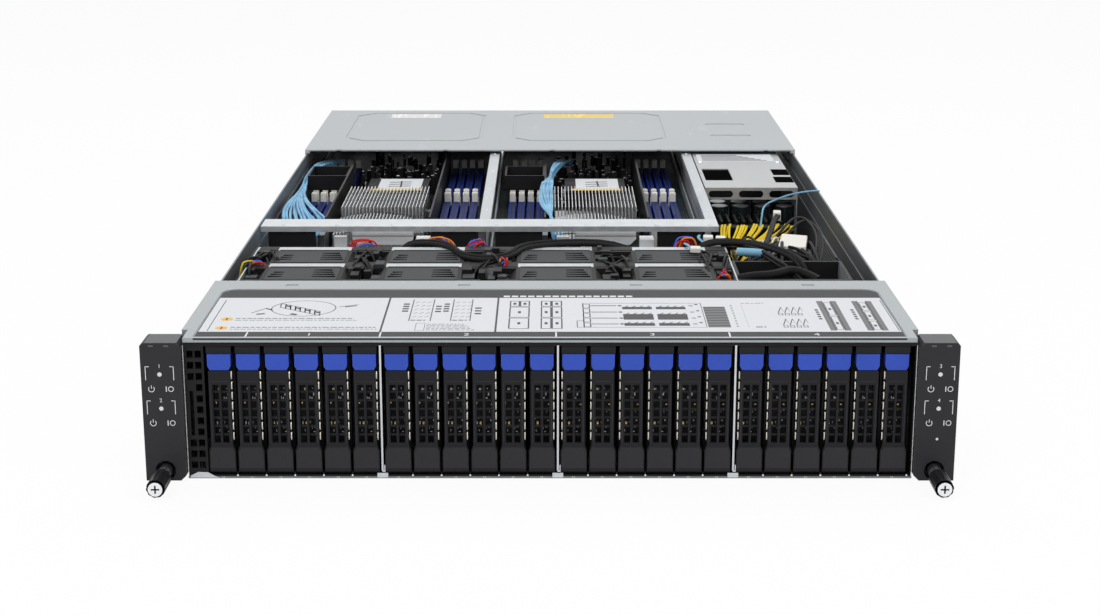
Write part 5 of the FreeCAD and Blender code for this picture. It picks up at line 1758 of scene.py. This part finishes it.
@dataclass
class NodeDetail:
    """Everything small on one upper node sled."""

    side: str
    seed: int
    board_top: float = 50.2
    card: Span = (-24.5, 28.5)
    banks: Flat = (-57.2, 57.0)
    bank_starts: Flat = (374.0, 527.0)
    slot_pitch: float = 7.8
    screw_x: Flat = (-36.5, 34.5)
    screw_y: Flat = (400.0, 474.0)
    clamp: Outline = ((-17.6, 74), (-17.6, 68), (-13, 63.6), (24.5, 63.6), (29, 68), (29, 74))
    clamp_field: Outline = ((-16.2, 72.6), (-16.2, 69), (-12.6, 66), (24.1, 66), (27.6, 69),
                                     (27.6, 72.6))
    tall_sink: Spans = ((-33.0, 32.2), (396.0, 480.0))
    low_sink: Spans = ((-33.0, 23.0), (330.0, 392.0))
    strands: int = 16

    @property
    def middle(self) -> float:
        """The node's middle line."""
        return NODE_MIDDLES[self.side]

    @property
    def body(self) -> str:
        """The body that carries the node."""
        return f"upper_{self.side}_node"

    def across(self, low: float, high: float) -> Span:
        """A span across the node, given from its middle line."""
        return self.middle + low, self.middle + high

    def dress(self) -> None:
        """Finish the carried-over nodes."""
        dress(Steel.ZINC, f"upper_{self.side}_sled")
        dress(BoardParts(f"node_board_{self.side}", BOARD.colour, BOARD.roughness,
                         card_x=self.across(*self.card)), f"upper_{self.side}_board")
        dress(Plastic.BAFFLE, f"upper_{self.side}_baffle")

    def chips(self) -> None:
        """Small parts on the board: coils, chips, capacitors and sockets, in rows."""
        part = Piece(f"small_parts_{self.side}")
        pick = random.Random(self.seed)
        z, m = self.board_top, self.middle
        for k in range(9):
            x = m - 36 + k * 8.2
            part.box((x, x + 6), (484, 490), (z, z + 5.5), Plastic.BLACK)
            part.box((x + 1, x + 5), (492.5, 495.5), (z, z + 2.5), Steel.BRIGHT)
        flat = scattered(pick, 26, (-38, 34), (500, 640), (3, 9), (3, 9), (0.8, 2.4))
        for x, y, wide, deep, tall in flat:
            part.box((m + x, m + x + wide), (y, y + deep), (z, z + tall), Plastic.BLACK)
        paints = (Steel.BRIGHT, Ink.PALE, Plastic.BLACK, Ink.MARK)
        tiny = scattered(pick, 120, (-38, 36), (484, 700), (0.8, 2.6), (1.0, 3.2), (1, 7))
        for k, (x, y, wide, deep, tall) in enumerate(tiny):
            part.box((m + x, m + x + wide), (y, y + deep), (z, z + tall), paints[k % len(paints)])
        caps = (Steel.BRIGHT, Ink.MARK, Ink.GREY)
        upright = scattered(pick, 70, (-38, 34), (570, 700), (1, 5), (1, 4), (8, 20))
        for k, (x, y, wide, deep, tall) in enumerate(upright):
            x += m
            part.box((x, x + wide), (y, y + deep), (z, z + tall), Plastic.BLACK)
            part.box((x + 0.2, x + wide * 0.7), (y + 0.1, y + deep * 0.6), (z + tall, z + tall + 0.6),
                     caps[k % len(caps)])
        for k in range(8):
            x = m - 34 + k * 9.0
            part.turned((x, 655, z), [(2.9, 0), (2.9, 7.5), (2.6, 8.0)], Plastic.CAN, sides=12)
            part.turned((x, 655, z + 8.0), [(2.4, 0), (2.4, 0.1)], Steel.BRIGHT, sides=12)
        for x in (m - 30, m - 8, m + 14):
            part.box((x, x + 14), (670, 676), (z, z + 9), Plastic.WHITE)
        part.build(self.body, "circuit_board", 0.2)

    def modules(self) -> None:
        """Memory modules in every slot of each bank, with their cream end latches."""
        part = Piece(f"memory_modules_{self.side}")
        z = self.board_top
        for bank in self.across(*self.banks):
            for near in self.bank_starts:
                for k in range(4):
                    x = bank + (k - 1.5) * self.slot_pitch
                    part.box((x - 0.8, x + 0.8), (near + 7, near + 138), (z + 7.6, z + 8.25),
                             Plastic.BLACK)
                    for y in (near + 1.0, near + 139.5):
                        part.box((x - 1.7, x + 1.7), (y, y + 4.6), (z + 13.0, z + 15.6), Plastic.CREAM)
        part.build(self.body, "circuit_board", 0.3)

    def rear_label(self, part: Piece) -> None:
        """The printed plate behind the tall heatsink, with its yellow edge.

        Args:
            part: the piece that takes it.
        """
        m, top = self.middle, self.board_top + 19.0
        ink = (top + 0.5, top + 0.65)
        part.box(self.across(-14.6, 22.4), (513, 556), (top, top + 0.5), Ink.WHITE)
        part.box(self.across(-18.0, 23.5), (506.5, 511), (top, top + 0.6), Ink.YELLOW)
        for k in range(3):
            part.line((m - 6, 522 + 9 * k), (m + 13, 524 + 9 * k), 1.8, ink, Ink.LINE)
        part.line((m + 5, 519), (m + 4, 545), 1.5, ink, Ink.LINE)

    def front_clamp(self, part: Piece) -> None:
        """The bright clamp plate and brackets in front of the low heatsink; plate and brackets glow with painted
        light.

        Args:
            part: the piece that takes them.
        """
        z = self.board_top
        part.box(self.across(-12, 18), (352, 358), (74.0, 74.3), Ink.AMBER)
        part.box(self.across(-17, 22), (343, 352), (73.6, 74.1), Steel.PLATE_PAINTED_LIGHT)
        for outline, near, far in ((self.clamp, 326.8, 328.4), (self.clamp_field, 326.3, 326.9)):
            part.prism([(self.middle + x, up) for x, up in outline], near, far, Steel.PLATE_PAINTED_LIGHT, Axis.Y)
        part.box(self.across(-17.6, 29.0), (326.1, 326.9), (70.2, 70.8), Steel.DARK)
        part.box(self.across(-17.6, 29.0), (326.8, 331), (73.4, 74.2), Steel.PLATE_PAINTED_LIGHT)
        part.box(self.across(31.5, 42.0), (314, 329), (z + 2, z + 20), Steel.PLATE_PAINTED_LIGHT)
        part.box(self.across(-31.5, -22.0), (326, 329.5), (z + 4, z + 20), Steel.PLATE_PAINTED_LIGHT)
        part.box(self.across(-42.5, -38.5), (322, 352), (z + 4, z + 22), Steel.DARK)

    def sink_parts(self) -> None:
        """Base plate screws, the printed plate and the clamp of the heatsinks."""
        part = Piece(f"sink_parts_{self.side}")
        for x in self.across(*self.screw_x):
            for y in self.screw_y:
                part.turned((x, y, self.board_top + 3), [(3.2, 0), (3.2, 5.0), (2.4, 6.0)], Steel.BRIGHT,
                            sides=16)
        self.rear_label(part)
        self.front_clamp(part)
        part.build(self.body, "fin_aluminium", 0.2)

    def fins(self, part: Piece, x: Span, y: Span, z: Span, count: int, arch: float) -> None:
        """A row of thin upright fins, cut across twice.

        Args:
            part: the piece that takes them.
            x: the row's left and right side.
            y: its near and far end.
            z: the fins' foot and highest top.
            count: how many.
            arch: how much lower the outer fins are than the middle ones.
        """
        thick, cut = 0.5, 2.2
        pitch = (x[1] - x[0] - thick) / (count - 1)
        third = (y[1] - y[0]) / 3
        for k in range(count):
            left = x[0] + pitch * k
            top = z[1] - arch * (2 * k / (count - 1) - 1) ** 2
            for cell in range(3):
                near = y[0] + third * cell
                far = near + third - cut * (cell < 2)
                part.box((left, left + thick), (near, far), (z[0], top), Steel.FIN)

    def heatsinks(self) -> None:
        """Both heatsinks with fine fins on their bases, in place of the plain ones."""
        part = Piece(f"heatsinks_{self.side}")
        z = self.board_top
        for sink, foot, height, count, arch in (
                (self.tall_sink, ((-19.0, 18.2), (406, 470)), 28, 24, 0.0),
                (self.low_sink, ((-19.0, 9.0), (340, 382)), 24, 22, 3.5)):
            x, y = self.across(*sink[0]), sink[1]
            part.box(self.across(*foot[0]), foot[1], (z, z + 4), Steel.FIN)
            part.box(x, y, (z + 4, z + 7), Steel.FIN)
            self.fins(part, x, y, (z + 7, z + height), count, arch)
        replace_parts(part.build(self.body, "fin_aluminium"), f"upper_{self.side}_heatsinks")

    def strand(self, t: float, left: float, pick: random.Random) -> list[Point]:
        """The route of one strand of the data cables.

        Args:
            t: its place in the bundle, from 0 to 1.
            left: the ribbon's left side.
            pick: where its small turns come from.

        Returns:
            Its corner points, from the rear.
        """
        z = self.board_top
        jog = [pick.uniform(-1.6, 1.6) for _ in range(6)]
        lift = pick.uniform(-5.5, 5.5)
        rear = [(left + 24 - 14 * t, 648, z + 18 + jog[0]), (left + 12 - 6 * t, 604, z + 23 + lift / 2),
                (left + 3 + jog[1], 568, z + 19 + lift), (left + 2.6 + jog[2], 536, z + 18 + lift)]
        if self.side == "left":
            return rear + [(left + 5 + jog[3], 505, z + 22 + jog[0]),
                           (left + 4 + 13 * t, 425, z + 27.5 + jog[1]),
                           (left + 3 + 28 * t + jog[3], 385, z + 27 + jog[2]),
                           (left + 7 + 38 * t + jog[1], 356, z + 24 + jog[4]),
                           (left + 8 + 18 * t, 338, z + 9 + jog[5]), (left + 6 + 12 * t, 331, z + 7)]
        over = z + 29.6 + abs(jog[0])
        return rear + [(left + 3.5 - 5 * t + jog[3], 500, over), (left + 5 - 12 * t + jog[4], 450, over),
                       (left + 4 - 10 * t + jog[1], 400, over), (left + 3 + 2 * t, 352, z + 28.6),
                       (left + 4 + 8 * t, 342, z + 18 + jog[5]), (left + 8 + 12 * t, 334, z + 8)]

    def data_cables(self) -> None:
        """Pale blue data cables in place of the ribbon: tied beside the crate, spread in front."""
        pick = random.Random(self.seed)
        z = self.board_top
        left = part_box(f"upper_{self.side}_cables")[0].x / MM
        routes = [self.strand(k / (self.strands - 1), left, pick) for k in range(self.strands)]
        cables = wires(f"data_cables_{self.side}", routes, 1.0, Cable.BLUE, self.body)
        plug = Piece(f"data_plug_{self.side}")
        plug.box((left + 0.2, left + 26), (316.2, 332), (z, z + 12), Plastic.BLACK)
        plug.build(self.body, "cable_sleeve", 0.4)
        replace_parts(cables, f"upper_{self.side}_cables")

    def build(self) -> None:
        """Make everything of one node."""
        self.dress()
        self.chips()
        self.modules()
        self.sink_parts()
        self.heatsinks()
        self.data_cables()


@dataclass
class Supplies:
    """Supplies, their cage's label, and the power board with its parts and wires."""

    left: float = 127.8
    cage_front: float = 449.0
    cage_top: float = 83.4
    face: float = 31.2
    notches: tuple[tuple[Span, Span], ...] = (((190.0, 203.9), (503.0, 528.0)),
                                              ((188.5, 203.9), (471.0, 495.0)))
    can_pitch: float = 18.0
    can_radius: float = 7.75
    can_height: float = 33.0
    fin_pitch: float = 6.0
    lead: Route = ((112, 262, 74), (126.6, 258.5, 80), (138.4, 240, 82), (150, 222, 83),
                               (156, 187, 84.5), (160.5, 170, 84.5), (172, 156, 76))
    twist: Route = ((157, 270, 66), (158.1, 276, 72), (167.5, 322, 74), (176.5, 371, 74),
                                (180.4, 381, 74))
    wrap: Route = ((127, 150, 81), (136, 149, 83.4), (150, 150, 83.4), (168, 172, 83.4),
                               (182, 158, 78))
    tape: Route = ((133, 223.5, 82.5), (142, 221, 83), (151, 218.5, 82.5))
    outer_tweed: Route = ((172, 350, 60), (182, 358, 70), (192, 374, 75), (201, 372, 75),
                                      (204, 330, 73), (198, 283, 71), (188, 246, 66), (186, 236, 52))
    inner_tweed: Route = ((150, 300, 58), (158, 290, 70), (150, 318, 74), (143, 300, 70),
                                      (137, 282, 60))
    teal: tuple = (((120, 258, 74), (111, 262.7, 81), (108, 274, 82), (111, 285.5, 80)),
                   ((96.8, 243, 84), (99, 234, 85), (100.6, 226, 84)))
    probe: Route = ((168, 396, 58), (170, 404, 70), (172, 410, 77), (182, 405, 83),
                                (197, 420, 84.5), (216.9, 428, 85.5), (219, 430, 84.4))
    sleeves: tuple = ((((175.8, 317.9), (194.6, 311), (188.5, 274), (168.4, 277)), 69, 74.5),
                      (((157, 291), (168, 288), (167, 270), (159, 272)), 64, 70))
    small_plugs: Route = ((113, 279, 77), (122, 276, 77), (116.5, 254, 77), (99, 217, 83),
                                      (105, 262, 72))
    end_plug: tuple = (((176, 378), (182, 377), (183, 386), (177, 387)), 71, 78)

    def dress(self) -> None:
        """Finish the carried-over nodes."""
        dress(Steel.ZINC, "lower_left_sled", "lower_right_sled")
        dress(Steel.CASE, "psu_lower", "psu_upper")
        dress(BOARD, "power_board")

    def cage_label(self) -> None:
        """White label, dark notches and screws on the cage's top."""
        part = Piece("cage_label")
        left, top = self.left, self.cage_top
        part.box((left + 3, left + 70), (566, 599), (top, top + 0.1), Ink.WHITE)
        for row in range(6):
            part.box((left + 7, left + 64 - row * 5), (569 + row * 4.8, 571 + row * 4.8),
                     (top + 0.05, top + 0.16), Ink.LINE)
        for x, y in self.notches:
            part.box(x, y, (top, top + 0.12), Plastic.SLOT)
        for x in (left + 4, left + 72):
            part.turned((x, 560, top), [(2.2, 0), (2.2, 0.6), (1.2, 1.0)], Steel.BRIGHT, sides=14)
        part.build("chassis", "zinc_steel")

    def cans(self) -> None:
        """Capacitors with pale tops, and black finned coolers."""
        part = Piece("power_parts")
        left, face, tall, radius = self.left + 3, self.face, self.can_height, self.can_radius
        for row in range(2):
            for column in range(4):
                x = left + 10 + self.can_pitch * column
                y = self.cage_front + 14 + self.can_pitch * row
                part.turned((x, y, face), [(radius, 0), (radius, tall), (radius - 0.55, tall + 1.2)],
                            Plastic.CAN, sides=20)
                part.turned((x, y, face + tall + 1.2), [(6.4, 0), (6.4, 0.2)], Steel.CAN_TOP, sides=20)
        for k in range(9):
            x = left + 8 + self.fin_pitch * k
            part.box((x - 0.2, x + 1.8), (self.cage_front - 30.2, self.cage_front + 0.2),
                     (face + 2, face + 30.2), Plastic.BLACK)
        part.build("chassis", "circuit_board", 0.2)

    def power_wires(self) -> None:
        """Yellow leads in five groups that come off the header and merge towards the midplane."""
        pick = random.Random(3)
        routes = []
        for group in range(5):
            for k in range(4):
                x = 139.5 + 12.6 * group + 2.2 * k + pick.uniform(-0.5, 0.5)
                low = pick.uniform(-2, 2)
                routes.append([(x, 408, 57), (x - 0.5, 404, 63 + low / 2), (x - 3, 390, 61 + low),
                               (x * 0.62 + 49 + low, 368, 55 + low), (x * 0.3 + 102 + low, 346, 50 + low),
                               (142 + k + low, 310, 44), (136 + k, 262, 34)])
        wires("power_wires", routes, 1.05, Cable.YELLOW, "chassis")

    def control_wires(self) -> None:
        """A loose crowd of black control leads."""
        spans = ((131, 202), (131, 202), (300, 345), (46, 60), (285, 325), (62, 74), (235, 285), (64, 76),
                 (215, 240), (66, 74), (204, 212))
        routes = [[(a, y0, z0), ((a * 2 + b) / 3, y1, z1), ((a + b * 2) / 3, y2, z2), (b, y3, z3),
                   (b, y4, 55)]
                  for a, b, y0, z0, y1, z1, y2, z2, y3, z3, y4 in scattered(random.Random(8), 30, *spans)]
        wires("control_wires", routes, 1.3, Cable.BLACK, "chassis")

    def single_leads(self) -> None:
        """The leads that can be told apart: black, taped, tweed, white, teal and the probe."""
        black = bundle(self.lead, 2, 1.5, 5) + bundle(self.twist, 3, 1.3, 6, 0.6)
        second = [(x + 4, y - 6, z - 1.5) for x, y, z in self.outer_tweed]
        white = [[(x, 292, 58), (x + 2, 312, 70 + k), (x - 6, 300, 72 + k), (x - 10, 280, 62)]
                 for k, x in enumerate((160, 164, 168, 172))]
        for name, routes, radius, finish in (
                ("control_lead", black, 1.4, Cable.BLACK), ("lead_wrap", [self.wrap], 3.4, Cable.BLACK),
                ("lead_tape", [self.tape], 3.0, Cable.TAPE),
                ("tweed_leads", [self.outer_tweed, second, self.inner_tweed], 1.0, Cable.TWEED),
                ("white_leads", white, 0.8, Cable.WHITE), ("teal_leads", self.teal, 0.9, Cable.TAPE),
                ("probe_wire", [self.probe], 0.75, Cable.BLUE)):
            wires(name, routes, radius, finish, "chassis")

    def plugs(self) -> None:
        """White sleeves and plugs of the leads."""
        part = Piece("wire_plugs")
        for outline, low, high in self.sleeves:
            part.prism(outline, low, high, Plastic.WHITE)
        for x, y, z in self.small_plugs:
            part.prism([(x, y), (x + 7.4, y - 0.8), (x + 8.0, y + 7), (x + 0.8, y + 8)], z, z + 3.8,
                       Plastic.WHITE)
        outline, low, high = self.end_plug
        part.prism(outline, low, high, Plastic.WHITE)
        part.build("chassis", "cable_sleeve", 0.8)

    def holed_plate(self) -> None:
        """The perforated plate on the side wall, beside the power board."""
        part = Piece("holed_plate")
        part.box((214.9, 215.7), (300, 404), (38, 60), Steel.HOLED)
        part.build("chassis", "zinc_steel")

    def build(self) -> None:
        """Make everything of this sub-assembly."""
        self.dress()
        self.cage_label()
        self.cans()
        self.power_wires()
        self.control_wires()
        self.single_leads()
        self.plugs()
        self.holed_plate()


@dataclass
class Looms:
    """Braided harnesses over the fans, in place of the plain loom."""

    top: float = 84.0
    foot: float = 58.0
    row: float = 246.0
    dip: float = 196.0

    def build(self) -> None:
        """Make the braided runs from the same corners as the loom's solids."""
        z, foot, row, dip = self.top, self.foot, self.row, self.dip
        centre = [(70, row, foot), (70, row, z), (-18, row, z), (-30, dip, z), (-60, dip, z),
                  (-72, row, z), (-112, row, z), (-112, row, foot)]
        lead = [(100, row, foot), (100, row, z), (150, row, z), (182, 176, z), (182, 176, 34)]
        routes = bundle(centre, 4, 2.0, 4, 0.6) + bundle(lead, 4, 2.0, 6, 0.6)
        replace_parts(wires("braided_loom", routes, 1.7, Cable.SLEEVE, "chassis"), "wiring_loom")


@dataclass
class Studio:
    """Floor, lights and camera."""

    floor_size: float = 12.0
    floor_drop: float = 0.0005
    lens: float = 63.03
    sensor: float = 36.0
    camera: Point = (0.0, -1.1085, 0.3977)
    pitch_deg: float = 14.97
    aim: Point = (0.0, 0.2, 0.05)
    floor_glow: float = 0.93
    dim: float = 0.42
    lamps: tuple[tuple[str, Point, float, float], ...] = (("key", (-0.9, -1.3, 1.7), 1.6, 22.0),
                                                          ("fill", (1.5, -0.9, 1.3), 1.8, 14.0),
                                                          ("top", (0.0, 0.9, 1.9), 2.0, 20.0))

    def floor(self) -> None:
        """A plain pale floor that shows as white to the camera and keeps a soft shadow."""
        shader = Shader(bpy.data.materials.new("studio_floor"))
        path = shader.node("LightPath", output="Is Camera Ray")
        seen = shader.math("MAXIMUM", path, path.also("Is Glossy Ray"))
        glow = shader.node("Emission", None, {"Color": (1.0, 1.0, 1.0), "Strength": 1.0})
        tone = shader.noise(3.0)
        shader.finish(Base_Color=shader.mix(tone, (0.8, 0.8, 0.8), (0.84, 0.84, 0.84)), Roughness=0.7)
        surface = Value(shader, shader.surface.outputs[0])
        blend = shader.node("MixShader", None, {0: seen * self.floor_glow, 1: surface, 2: glow})
        shader.feed(shader.tree.nodes["Material Output"].inputs["Surface"], blend)
        half, z = self.floor_size / 2, -self.floor_drop
        data = bpy.data.meshes.new("floor")
        data.from_pydata([(-half, -half, z), (half, -half, z), (half, half, z), (-half, half, z)], [],
                         [(0, 1, 2, 3)])
        data.materials.append(shader.owner)
        put("floor", data)

    def world(self) -> None:
        """White behind everything that is seen or mirrored, and plain grey light elsewhere."""
        shader = Shader(bpy.data.worlds.new("studio"), "Background")
        bpy.context.scene.world = shader.owner
        path = shader.node("LightPath", output="Is Camera Ray")
        seen = shader.math("MAXIMUM", path, path.also("Is Glossy Ray"))
        through = shader.math("MAXIMUM", seen, path.also("Is Transmission Ray"))
        shader.finish(Color=(1.0, 1.0, 1.0), Strength=self.dim + through * (1.0 - self.dim))

    def lamp(self, name: str, at: Point, size: float, power: float) -> None:
        """A square soft light that faces the server.

        Args:
            name: the light's name.
            at: its place, in metres.
            size: its side, in metres.
            power: in watts.
        """
        data = bpy.data.lights.new(name, "AREA")
        data.size = size
        data.energy = power
        thing = put(name, data)
        thing.location = at
        aim = Vector(self.aim) - Vector(at)
        thing.rotation_euler = aim.to_track_quat("-Z", "Y").to_euler()

    def shoot(self) -> None:
        """The camera, at the height and tilt of the product view."""
        data = bpy.data.cameras.new("camera")
        data.lens = self.lens
        data.sensor_width = self.sensor
        thing = put("camera", data)
        thing.location = self.camera
        thing.rotation_euler = (math.radians(90.0 - self.pitch_deg), 0.0, 0.0)
        bpy.context.scene.camera = thing

    def build(self) -> None:
        """Make the whole studio."""
        self.shoot()
        self.world()
        self.floor()
        for lamp in self.lamps:
            self.lamp(*lamp)
        bpy.context.scene.view_settings.view_transform = "Standard"


def main() -> None:
    """Build the studio and every sub-assembly in order."""
    logging.basicConfig(level=logging.INFO)
    parts = [Studio(), Chassis(), Ear(-1, "left_ear", ("1", "2")), Ear(1, "right_ear", ("3", "4")),
             Thumbscrew("left_thumbscrew"), Thumbscrew("right_thumbscrew"), DriveBays(), FrontCover(),
             RearCover(), Fans(), NodeDetail("left", 21), NodeDetail("right", 22), Supplies(), Looms()]
    for part in parts:
        part.build()
        log.info("built %s", type(part).__name__)


if __name__ == "__main__":
    main()
